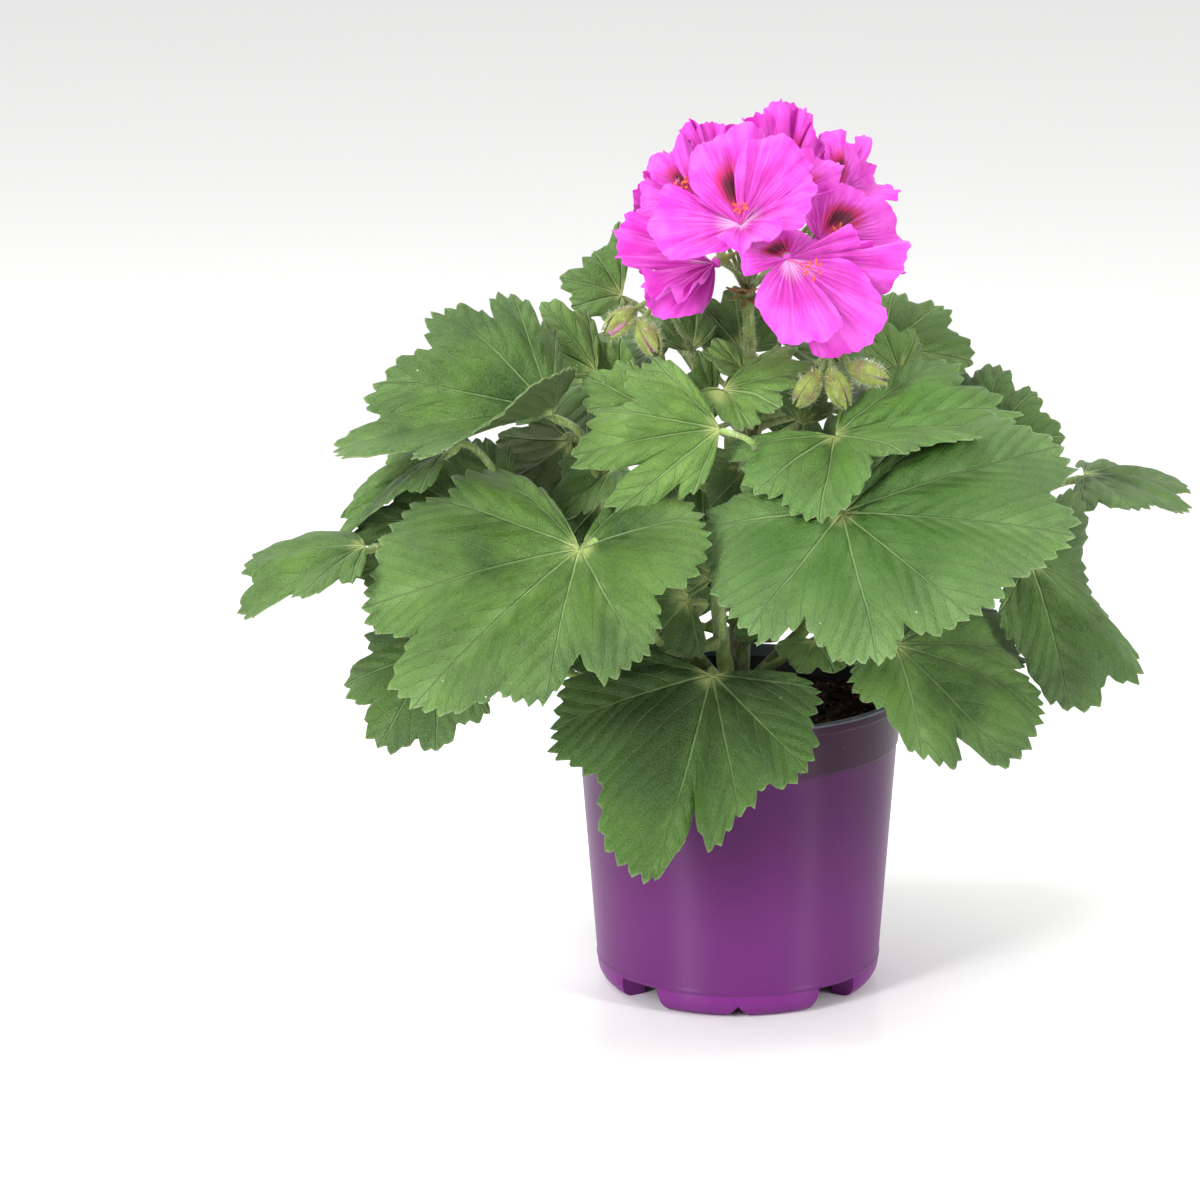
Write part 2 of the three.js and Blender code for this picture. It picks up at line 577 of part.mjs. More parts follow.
// Filaments and style run together into one slim column that leans out of the throat
function stamenSolid({ throat, tip }) {
  const way = vector(tip).sub(vector(throat));
  const start = vector(throat).addScaledVector(way.clone().normalize(), clawRadius + gap);
  return tube(new THREE.LineCurve3(start, vector(tip)), stamenRadius, 1, 4);
}

const bractTips = [[-4, -17, 256], [1, -19, 257], [6, -17, 257]];
const bractHeart = [2, -10, 253];

// Blades and petals that press together are trimmed a gap apart where they would meet

function meets(a, b) {
  const [p, q] = [a.boundingBox(), b.boundingBox()];
  const apart = [0, 1, 2].some((i) => p.min[i] > q.max[i] || q.min[i] > p.max[i]);
  return !apart && a.intersect(b).volume() > 0;
}

function trimmed(solid, neighbours) {
  const cut = neighbours.reduce((rest, next) => (meets(rest, next) ? rest.subtract(next) : rest), solid);
  return largestPiece(cut);
}

const plant = new THREE.Group();

const stemNames = Object.keys(stems);
const grownStems = stemNames.map((name) => stemSolid(name, gap));
const rootsInSoil = stemSolid('main', gap);
plant.add(toMesh('pot', pot(), potPurple));
plant.add(toMesh('soil', soil(rootsInSoil), soilBrown));
stemNames.forEach((name) => plant.add(toMesh(`stem_${name}`, stemSolid(name), name === 'main' ? woodBrown : stemGreen)));
plant.add(toMesh('flower_stalk', flowerStalkSolid(), stemGreen));
Object.entries(budClusters).forEach(([name, cluster]) => {
  plant.add(toMesh(name, budClusterSolid(cluster), budGreen));
});
Object.entries(stamens).forEach(([name, stamen]) => plant.add(toMesh(name, stamenSolid(stamen), coral)));

const stalkwork = [...grownStems, flowerStalkSolid(gap)];
Object.values(budClusters).forEach((cluster) => stalkwork.push(budClusterSolid(cluster, gap)));
const taken = [...stalkwork];

const bract = sheet(fan(bractHeart, bractTips, petalShape), 4, 2, petalThickness);
plant.add(toMesh('bract', trimmed(bract, stalkwork), bractBrown));
taken.push(sheet(fan(bractHeart, bractTips, petalShape), 4, 2, petalThickness + 2 * gap));

const leafwork = leafShapes();
leafwork.forEach(({ name, blade, grownBlade, stalk }) => {
  const others = leafwork.filter((leaf) => leaf.name !== name).map((leaf) => leaf.grownStalk);
  const solid = stalk.add(trimmed(blade, [...taken, ...others]));
  plant.add(toMesh(name, solid, green));
  taken.push(grownBlade);
});

Object.entries(florets).forEach(([name, floret]) => {
  plant.add(toMesh(name, trimmed(corolla(floret, petalThickness), taken), pink));
  taken.push(corolla(floret, petalThickness + 2 * gap));
});

export default plant;
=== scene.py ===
import math
import random
from functools import partial
import bpy
import bmesh
from mathutils import Matrix, Vector, noise


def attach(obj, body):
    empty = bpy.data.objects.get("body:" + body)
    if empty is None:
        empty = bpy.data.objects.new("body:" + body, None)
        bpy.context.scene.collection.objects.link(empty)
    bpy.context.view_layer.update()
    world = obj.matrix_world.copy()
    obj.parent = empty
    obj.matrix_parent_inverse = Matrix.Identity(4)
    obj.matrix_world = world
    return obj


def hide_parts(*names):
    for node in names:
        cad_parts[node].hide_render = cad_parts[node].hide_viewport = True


# Potted regal pelargonium. Sizes in the dictionaries are millimetres, +Z up, front towards -Y.
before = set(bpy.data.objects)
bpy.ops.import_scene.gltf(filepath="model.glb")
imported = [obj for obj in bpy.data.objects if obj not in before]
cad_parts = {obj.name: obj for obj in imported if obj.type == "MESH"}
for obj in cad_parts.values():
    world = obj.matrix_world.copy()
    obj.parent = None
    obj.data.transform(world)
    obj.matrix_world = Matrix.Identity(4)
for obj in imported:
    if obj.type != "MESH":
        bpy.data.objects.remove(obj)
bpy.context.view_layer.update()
mm = 0.001
upward = Vector((0, 0, 1))
bpy.context.scene.view_settings.view_transform = "Standard"  # keeps the pinks as strong as they are

# camera at the photograph's viewing angle, the pot's axis stands right of the middle
cameraSetup = dict(distance=1600, elevation=14.1, aimHeight=140, focalPixels=4498,
                   axisPixel=738, imagePixels=1200, sensor=36)


def makeCamera(setup):
    tilt = math.radians(setup["elevation"])
    data = bpy.data.cameras.new("camera")
    data.sensor_width = setup["sensor"]
    data.lens = setup["focalPixels"] / setup["imagePixels"] * setup["sensor"]
    data.shift_x = 0.5 - setup["axisPixel"] / setup["imagePixels"]
    camera = bpy.data.objects.new("camera", data)
    bpy.context.collection.objects.link(camera)
    back = -setup["distance"] * math.cos(tilt)
    height = setup["aimHeight"] + setup["distance"] * math.sin(tilt)
    camera.location = Vector((0, back, height)) * mm
    camera.rotation_euler = (math.pi / 2 - tilt, 0, 0)
    bpy.context.scene.camera = camera


makeCamera(cameraSetup)
print("camera ready")


# colours, nodes and new pieces
def srgb(text):
    values = [int(text[i:i + 2], 16) / 255 for i in (1, 3, 5)]
    return [v / 12.92 if v <= 0.04045 else ((v + 0.055) / 1.055) ** 2.4 for v in values] + [1.0]


# the inputs that a node's values go to and the output it is used for, where these aren't its first ones
nodeInputs = dict(Mix=(0, 6, 7), TexNoise=("Vector", "Scale", "Detail", "Roughness"),
                  TexVoronoi=("Vector", "Scale"), Mapping=("Vector", "Scale"),
                  Bump=("Height", "Strength", "Distance"))
nodeOutput = dict(Mix=2, Attribute=2, TexCoord="Object")
smooth = dict(interpolation_type="SMOOTHSTEP")


def addNode(tree, kind, *values, out=None, **settings):
    # a value is a number, the text of a colour or another node's output
    node = tree.nodes.new("ShaderNode" + kind)
    if kind == "Mix":
        node.data_type = "RGBA"
    for key, value in settings.items():
        setattr(node, key, value)
    for key, value in zip(nodeInputs.get(kind, range(len(values))), values):
        if isinstance(value, bpy.types.NodeSocket):
            tree.links.new(value, node.inputs[key])
        else:
            node.inputs[key].default_value = srgb(value) if isinstance(value, str) else value
    return node.outputs[nodeOutput.get(kind, 0) if out is None else out]


def startMaterial(name, **sockets):
    # sockets are the shader's even values, such as roughness
    material = bpy.data.materials.new(name)
    material.use_nodes = True
    for key, value in sockets.items():
        material.node_tree.nodes["Principled BSDF"].inputs[key.replace("_", " ")].default_value = value
    add = partial(addNode, material.node_tree)
    return material, add, add("TexCoord")


def finishMaterial(material, tones, relief=None, strength=0.0, depth=0.0, **links):
    # depth is the height of the relief in millimetres
    tree = material.node_tree
    links["Base Color"] = tones
    if strength:
        links["Normal"] = addNode(tree, "Bump", relief, strength, depth * mm)
    for key, value in links.items():
        tree.links.new(value, tree.nodes["Principled BSDF"].inputs[key])
    return material


def mottledMaterial(name, first, second, scale, detail, low, high, relief=(0, 0), grit=0.5, **sockets):
    # plain matter in two tones; scale is that of its spots for each metre
    material, add, place = startMaterial(name, **sockets)
    mottle = add("TexNoise", place, scale, detail, grit)
    tones = add("Mix", add("MapRange", mottle, low, high), first, second)
    return finishMaterial(material, tones, mottle, *relief)


def distanceFromHalf(add, turns):
    # for lines that repeat once in each turn
    part = add("Math", turns, operation="FRACT")
    return add("Math", add("Math", part, 0.5, operation="SUBTRACT"), operation="ABSOLUTE")


def newObject(name, bm, materials=()):
    mesh = bpy.data.meshes.new(name)
    bm.to_mesh(mesh)
    bm.free()
    for material in materials:
        mesh.materials.append(material)
    made = bpy.data.objects.new(name, mesh)
    bpy.context.collection.objects.link(made)
    return made


def newPiece(name, bm, materials, nodes=(), sharp=60):
    piece = newObject(name, bm, materials)
    piece.data.shade_smooth()
    piece.data.set_sharp_from_angle(angle=math.radians(sharp))
    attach(piece, "root")
    if nodes:
        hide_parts(*nodes)


def joinInto(bm, fresh):
    mesh = bpy.data.meshes.new("joined")
    fresh.to_mesh(mesh)
    fresh.free()
    bm.from_mesh(mesh)
    bpy.data.meshes.remove(mesh)


def facesOf(verts):
    # in the order of the vertices, so that random choices repeat
    return list(dict.fromkeys(face for vert in verts for face in vert.link_faces))


def paint(faces, material):
    for face in faces:
        face.material_index = material


# white studio: pale floor, soft boxes left and right of the camera, bright surroundings
studio = dict(floorSize=14000, floorTone="#fdfdfc", floorDust="#fbfbfa", skyStrength=0.36, aimHeight=150,
              boxes=[dict(place=(-1050, -1250, 800), size=(300, 1300), power=29.5),
                     dict(place=(1250, -900, 700), size=(130, 1200), power=15),
                     dict(place=(-600, -100, 1700), size=(700, 700), power=13),
                     dict(place=(0, 2400, 5000), size=(14000, 14000), power=530)])


def makeStudio(look):
    # acrylic sheet: even and pale, with a breath of dust
    acrylic = mottledMaterial("whiteAcrylicFloor", look["floorTone"], look["floorDust"], 3.0, 2.0, 0.0, 1.0,
                              Roughness=0.2, Specular_IOR_Level=0.06)
    bm = bmesh.new()
    bmesh.ops.create_grid(bm, x_segments=1, y_segments=1, size=look["floorSize"] / 2 * mm)
    newObject("floor", bm, [acrylic])
    world = bpy.data.worlds.new("studio")
    world.use_nodes = True
    background = world.node_tree.nodes["Background"]
    background.inputs[0].default_value = (1, 1, 1, 1)
    background.inputs[1].default_value = look["skyStrength"]
    bpy.context.scene.world = world
    aim = upward * look["aimHeight"] * mm
    for number, box in enumerate(look["boxes"]):
        data = bpy.data.lights.new("softBox%d" % number, "AREA")
        data.shape = "RECTANGLE"
        data.size, data.size_y = (side * mm for side in box["size"])
        data.energy = box["power"]
        light = bpy.data.objects.new(data.name, data)
        light.location = Vector(box["place"]) * mm
        light.rotation_euler = (aim - light.location).to_track_quat("-Z", "Y").to_euler()
        bpy.context.collection.objects.link(light)


makeStudio(studio)
print("studio ready")


# curves and fans that every grown part is shaped with
def smoothMix(a, b, c, d, t):
    return b + 0.5 * t * (c - a + t * (2 * a - 5 * b + 4 * c - d + t * (3 * (b - c) + d - a)))


def throughList(values, place):
    i = min(max(int(math.floor(place)), 0), len(values) - 2)
    return smoothMix(values[max(i - 1, 0)], values[i], values[i + 1],
                     values[min(i + 2, len(values) - 1)], place - i)


def routeThrough(points, steps):
    # even steps along a smooth curve through the points, in the points' own unit
    points = [Vector(point) for point in points]
    fine = [throughList(points, (len(points) - 1) * i / (8 * steps)) for i in range(8 * steps + 1)]
    reached = [0.0]
    for a, b in zip(fine, fine[1:]):
        reached.append(reached[-1] + (b - a).length)
    route, k = [], 0
    for i in range(steps + 1):
        wanted = reached[-1] * i / steps
        while k < len(reached) - 2 and reached[k + 1] < wanted:
            k += 1
        share = (wanted - reached[k]) / max(reached[k + 1] - reached[k], 1e-9)
        route.append(fine[k].lerp(fine[k + 1], min(share, 1)))
    return route


def direction(turn, rise):
    a, e = math.radians(turn), math.radians(rise)
    return Vector((math.cos(a) * math.cos(e), math.sin(a) * math.cos(e), math.sin(e)))


def turnTo(way):
    return upward.rotation_difference(way).to_matrix()


def ease(value, low, high):
    t = min(max((value - low) / (high - low), 0), 1)
    return t * t * (3 - 2 * t)


def addTube(bm, route, radii, sides=8, material=0):
    # a grid rolled round the route, its seam merged and its ends closed
    steps = len(route) - 1
    grid = bmesh.ops.create_grid(bm, x_segments=sides, y_segments=steps, size=0.5)["verts"]
    tangents = [(route[min(i + 1, steps)] - route[max(i - 1, 0)]).normalized() for i in range(steps + 1)]
    across = [tangents[0].orthogonal().normalized()]
    for tangent in tangents[1:]:
        across.append((across[-1] - tangent * across[-1].dot(tangent)).normalized())
    for vert in grid:
        i = round((vert.co.y + 0.5) * steps)
        angle = 2 * math.pi * (vert.co.x + 0.5)
        other = tangents[i].cross(across[i])
        vert.co = (route[i] + (across[i] * math.cos(angle) + other * math.sin(angle)) * radii[i]) * mm
    faces = facesOf(grid)
    bmesh.ops.remove_doubles(bm, verts=grid, dist=1e-6)
    faces = [face for face in faces if face.is_valid]
    rims = [edge for face in faces for edge in face.edges if edge.is_boundary]
    faces += bmesh.ops.holes_fill(bm, edges=list(dict.fromkeys(rims)), sides=0)["faces"]
    paint(faces, material)
    bmesh.ops.recalc_face_normals(bm, faces=faces)
    return faces


def makeFan(heart, tips, hem):
    # a blade runs out from its heart to its lobes; place counts lobes, share runs from heart to margin
    root = Vector(heart)
    rays = [Vector(tip) - root for tip in tips]
    ways = [ray.normalized() for ray in rays]
    reach = [ray.length for ray in rays]
    facing = Vector()
    for a, b in zip(ways, ways[1:]):
        facing += a.cross(b)
    facing.normalize()
    spread = [a.angle(b) for a, b in zip(ways, ways[1:])]
    last = len(tips) - 1
    ways = [1.9 * ways[0] - 0.9 * ways[1], *ways, 1.9 * ways[-1] - 0.9 * ways[-2]]
    ways = [way.normalized() for way in ways]
    reach = [0.9 * reach[0], *reach, 0.9 * reach[-1]]

    def ray(place):
        over = max(-place, place - last, 0) / hem
        rounding = math.sqrt(max(1 - 0.85 * over * over, 0.08)) if over > 0 else 1
        return throughList(ways, place + 1).normalized(), throughList(reach, place + 1) * rounding

    return dict(root=root, ray=ray, facing=facing, spread=spread, last=last)


def thickened(name, bm, thickness, slots=2):
    # the sheet gets a real thickness: the face side keeps slot 0, the back gets slot 1
    sheet = newObject(name, bm, [None] * slots)
    solid = sheet.modifiers.new("thickness", "SOLIDIFY")
    solid.thickness = thickness * mm
    solid.offset = 0
    solid.material_offset = 1
    made = bmesh.new()
    made.from_object(sheet, bpy.context.evaluated_depsgraph_get())
    bpy.data.objects.remove(sheet)
    return made


def faceTowards(bm, faces, facing):
    # by all their normals together, because single faces of a ruffled sheet may look away
    whole = Vector()
    for face in faces:
        face.normal_update()
        whole += face.normal
    if whole.dot(facing) < 0:
        bmesh.ops.reverse_faces(bm, faces=faces)


# leaf tissue: pitches and widths in millimetres, strengths of the net, the side veins and the main veins
# paintedSheen is the tone of the painted sheen; foldSheen and outer are its strengths along the folds and
# towards the margin
leafLook = dict(light="#4f751d", deep="#294813", paintedSheen="#86a46f", vein="#9ab977", heart="#b4c377",
                down="#b9c79a", dust="#dfe2d2", sheen="#dfe6d0", inner="#3d661a", shade=0.0, outer=0.22,
                foldSheen=0.27, speck=0.75, speckGap=13, patch=26, spacing=8.5, slant=1.7, mainVein=(0.8, 0.25),
                sideVein=0.3, net=1.9, grain=0.6, strengths=(0.04, 0.2, 0.5), roughness=0.38, raised=-1)
leafTones = dict(young=dict(leafLook, light="#688d2f", deep="#406322"),
                 # old: darker tissue, partly the leaves' age and partly painted shade for the leaves inside
                 # the crown
                 old=dict(leafLook, light="#45681b", deep="#243f11"),
                 # shaded and broad: painted shade, a darker tissue deepest towards the heart, for leaves
                 # that others stand over
                 shaded=dict(leafLook, light="#42691a", deep="#1e3b0d", paintedSheen="#6f944a",
                             inner="#1d370b", shade=0.8),
                 broad=dict(leafLook, light="#4d761c", inner="#335c14", shade=0.8, outer=0.32),
                 flushed=dict(leafLook, light="#4e7d20", deep="#3a581d"))
underLook = dict(leafLook, light="#46582c", deep="#46582c", vein="#76875a", outer=0.0, foldSheen=0.0, speck=0.0,
                 roughness=0.62, raised=1)
veinSpan = 200  # millimetres from side to side of the vein map


def leafMaterial(name, look):
    # living leaf: waxy skin under short soft hair, so broad dull highlights and a pale velvet edge
    material, add, place = startMaterial(name, Roughness=look["roughness"], Specular_IOR_Level=0.29,
                                         Sheen_Weight=0.045, Sheen_Roughness=0.35,
                                         Sheen_Tint=srgb(look["sheen"]), Subsurface_Weight=0.06,
                                         Subsurface_Radius=(0.3, 0.6, 0.1), Subsurface_Scale=0.001)
    uv = add("UVMap", uv_map="veinMap")
    signed = add("Math", add("SeparateXYZ", uv), 0.5, operation="SUBTRACT")
    away = add("Math", signed, operation="ABSOLUTE")
    off = add("Math", away, veinSpan, operation="MULTIPLY")  # mm from the main vein
    down = add("Math", add("SeparateXYZ", uv, out=1), veinSpan, operation="MULTIPLY")  # mm from the heart
    ratio = add("Math", off, add("MapRange", down, 0.0, 70.0, *look["mainVein"]), operation="DIVIDE")
    main = add("MapRange", ratio, 0.3, 1.15, 1.0, 0.0, **smooth)
    # side veins leave the main vein at a slant, by turns on its two sides
    ahead = add("Math", off, -look["slant"], down, operation="MULTIPLY_ADD")
    left = add("Math", signed, 0.0, operation="GREATER_THAN")
    turned = add("Math", left, 0.45 * look["spacing"], ahead, operation="MULTIPLY_ADD")
    gap = distanceFromHalf(add, add("Math", turned, look["spacing"], operation="DIVIDE"))
    thin = look["sideVein"] / look["spacing"]
    line = add("MapRange", gap, thin * 0.3, thin * 1.6, 1.0, 0.0, **smooth)
    sideVein = add("Math", line, add("MapRange", down, 6.0, 16.0, 0.0, 1.0), operation="MULTIPLY")
    # the net of the smallest veins
    cells = add("TexVoronoi", place, 1000 / look["net"], feature="DISTANCE_TO_EDGE")
    net = add("MapRange", cells, 0.02, 0.25, 1.0, 0.0)
    # colour: patches, then painted shade: deeper green towards the heart of the leaves that others stand
    # over
    patches = add("TexNoise", place, 1000 / look["patch"], 3.0, 0.6)
    freckles = add("TexNoise", place, 1000 / look["grain"], 1.0)
    both = add("Math", freckles, 0.35, patches, operation="MULTIPLY_ADD")
    tones = add("Mix", add("MapRange", both, 0.47, 0.88), look["deep"], look["light"])
    reached = add("Attribute", attribute_name="rim")
    tones = add("Mix", add("MapRange", reached, 0.45, 0.95, look["shade"], 0.0), tones, look["inner"])
    # painted sheen: lighter silvery streaks along the folds beside the main veins, then the veins
    folds = add("MapRange", off, 0.5, 7.0, 1.0, 0.0, **smooth)
    foldSheen = add("MapRange", patches, 0.36, 0.7, 0.0, look["foldSheen"])
    tones = add("Mix", add("Math", folds, foldSheen, operation="MULTIPLY"), tones, look["paintedSheen"])
    mainPale = add("Math", main, add("MapRange", down, 5.0, 55.0, 1.0, 0.35), operation="MULTIPLY")
    for mask, strength in zip((net, sideVein, mainPale), look["strengths"]):
        tones = add("Mix", add("Math", mask, strength, operation="MULTIPLY"), tones, look["vein"])
    # palest at the heart, painted sheen growing towards the margin with down along it, a few specks of
    # pollen
    nearHeart = add("MapRange", down, 1.5, 7.0, 0.7, 0.0, **smooth)
    outer = add("MapRange", reached, 0.4, 1.0, 0.0, look["outer"])
    margin = add("MapRange", reached, 0.965, 1.0, 0.0, 0.25)
    spots = add("TexVoronoi", place, 1000 / look["speckGap"])
    specks = add("MapRange", spots, 0.018, 0.03, look["speck"], 0.0)
    for mask, colour in ((nearHeart, "heart"), (outer, "paintedSheen"), (margin, "down"), (specks, "dust")):
        tones = add("Mix", mask, tones, look[colour])
    # relief: veins sunk above and raised below, tissue puffed between them
    swell = add("Math", add("Math", gap, 2 * math.pi, operation="MULTIPLY"), operation="COSINE")
    relief = add("Math", add("TexNoise", place, 1000 / look["grain"], 2.0), 1.6, operation="MULTIPLY")
    for mask, depth in ((swell, 0.7), (sideVein, 1.2), (main, 2.2), (net, 0.18)):
        relief = add("Math", mask, depth * look["raised"], relief, operation="MULTIPLY_ADD")
    return finishMaterial(material, tones, relief, 1.0, 0.45)


# stalks and stems: green, ribbed along their length, browner where they are old; the old and wood tones are
# the stems' own colour deepened by painted shade for the inside of the crown
stalkLook = dict(young="#86a352", old="#5f6d34", wood="#5c5130", hair="#d6dcc0", patch=9, rib=0.8)


def stalkMaterial(name, look, pale, dark):
    # fresh herb stem: soft sheen from downy hair, faint streaks where the skin stretched
    material, add, place = startMaterial(name, Roughness=0.55, Specular_IOR_Level=0.4, Sheen_Weight=0.3,
                                         Sheen_Roughness=0.4, Subsurface_Weight=0.1,
                                         Subsurface_Radius=(0.5, 0.8, 0.2), Subsurface_Scale=0.001)
    patches = add("TexNoise", place, 1000 / look["patch"], 4.0)
    tones = add("Mix", add("MapRange", patches, 0.35, 0.65), look[pale], look[dark])
    streaks = add("TexNoise", add("Mapping", place, (1, 1, 0.15)), 1000 / look["rib"], 2.0)
    tones = add("Mix", add("MapRange", streaks, 0.5, 0.75, 0.0, 0.4), tones, look["hair"])
    return finishMaterial(material, tones, streaks, 0.7, 0.25)


leafUppers = {tone: leafMaterial("leafUpperSide_" + tone, look) for tone, look in leafTones.items()}
leafUppers["grown"] = leafMaterial("leafUpperSide", leafLook)
leafUnder = leafMaterial("leafUnderside", underLook)
stalkGreen = stalkMaterial("greenStalk", stalkLook, "young", "old")
stemWood = stalkMaterial("woodyStem", stalkLook, "old", "wood")

# hairs: slim three-sided spikes standing on a piece's skin, sixty at a time to be quick
hairLook = dict(tone="#e4e8d4", shade="#c3cba4", thickness=0.055, tip=0.008, batch=60)
# downy plant hair: pale, catches the light along its side
downyHair = mottledMaterial("downyHair", hairLook["tone"], hairLook["shade"], 1000.0, 2.0, 0.0, 1.0,
                            Roughness=0.4, Sheen_Weight=0.3)


def addHairs(bm, faces, count, length, material, rng, look=hairLook):
    # each hair stands on a random place of a random face, larger faces get more of them
    areas = [face.calc_area() for face in faces]
    roots = []
    for face in rng.choices(faces, areas, k=count):
        corners = [vert.co for vert in face.verts]
        a, b = rng.random(), rng.random()
        root = corners[0].lerp(corners[1], a).lerp(corners[2 % len(corners)].lerp(corners[-1], a), b)
        roots.append((root, face.normal.copy()))
    for first in range(0, len(roots), look["batch"]):
        fresh = bmesh.new()
        for root, normal in roots[first:first + look["batch"]]:
            way = (normal + Vector([rng.uniform(-0.6, 0.6) for _ in range(3)])).normalized()
            long = length * rng.uniform(0.5, 1.15) * mm
            stand = Matrix.Translation(root + way * long * 0.45) @ turnTo(way).to_4x4()
            bmesh.ops.create_cone(fresh, cap_ends=True, segments=3, radius1=look["thickness"] * mm,
                                  radius2=look["tip"] * mm, depth=long, matrix=stand)
        paint(fresh.faces, material)
        joinInto(bm, fresh)


# stems: one radius each, a smooth curve through a few points
stems = dict(
    main=dict(radius=4.2, points=[(0, 0, 66), (0, 0, 97), (1, 1, 140), (3, 3, 180), (4, 0, 214)]),
    front=dict(radius=2.8, points=[(-1, -7, 106), (-5, -26, 126), (-7, -32, 150), (-6, -33, 176)]),
    left=dict(radius=2.6, points=[(-7, -1, 110), (-26, -6, 136), (-40, -9, 166), (-46, -9, 192)]),
    right=dict(radius=2.6, points=[(7, 0, 112), (27, 0, 134), (42, 4, 162), (48, 8, 188)]),
    back=dict(radius=2.6, points=[(0, 7, 114), (0, 28, 138), (-2, 42, 164), (-3, 50, 188)]))
stemSteps = 48
stemRoutes = {name: routeThrough(stem["points"], stemSteps) for name, stem in stems.items()}


def growStem(name):
    stem, route = stems[name], stemRoutes[name]
    rng = random.Random("stem" + name)
    joints = [rng.uniform(0.1, 0.95) for _ in range(5)]  # old leaf scars swell the stem
    radii = []
    for i in range(stemSteps + 1):
        share = i / stemSteps
        swell = sum(math.exp(-((share - joint) / 0.02) ** 2) for joint in joints)
        radii.append(stem["radius"] * (1.0 - 0.16 * share + 0.1 * swell))
    skin, slot = stemWood, "bark"
    if name != "main":
        # the branch grows out of the main stem and broadens at its foot
        skin, slot = stalkGreen, "stem"
        near = min(stemRoutes["main"], key=lambda point: (point - route[0]).length)
        route = [near.lerp(route[0], 0.35 + 0.2 * i) - upward * (3 - i) for i in range(3)] + route
        radii = [stem["radius"] * grow for grow in (1.25, 1.18, 1.1)] + radii
    bm = bmesh.new()
    addTube(bm, route, radii, sides=14)
    newPiece("stem_%s_grown" % name, bm, [skin], ["stem_" + name], sharp=180)


for stemName in stems:
    growStem(stemName)
print("stems ready")


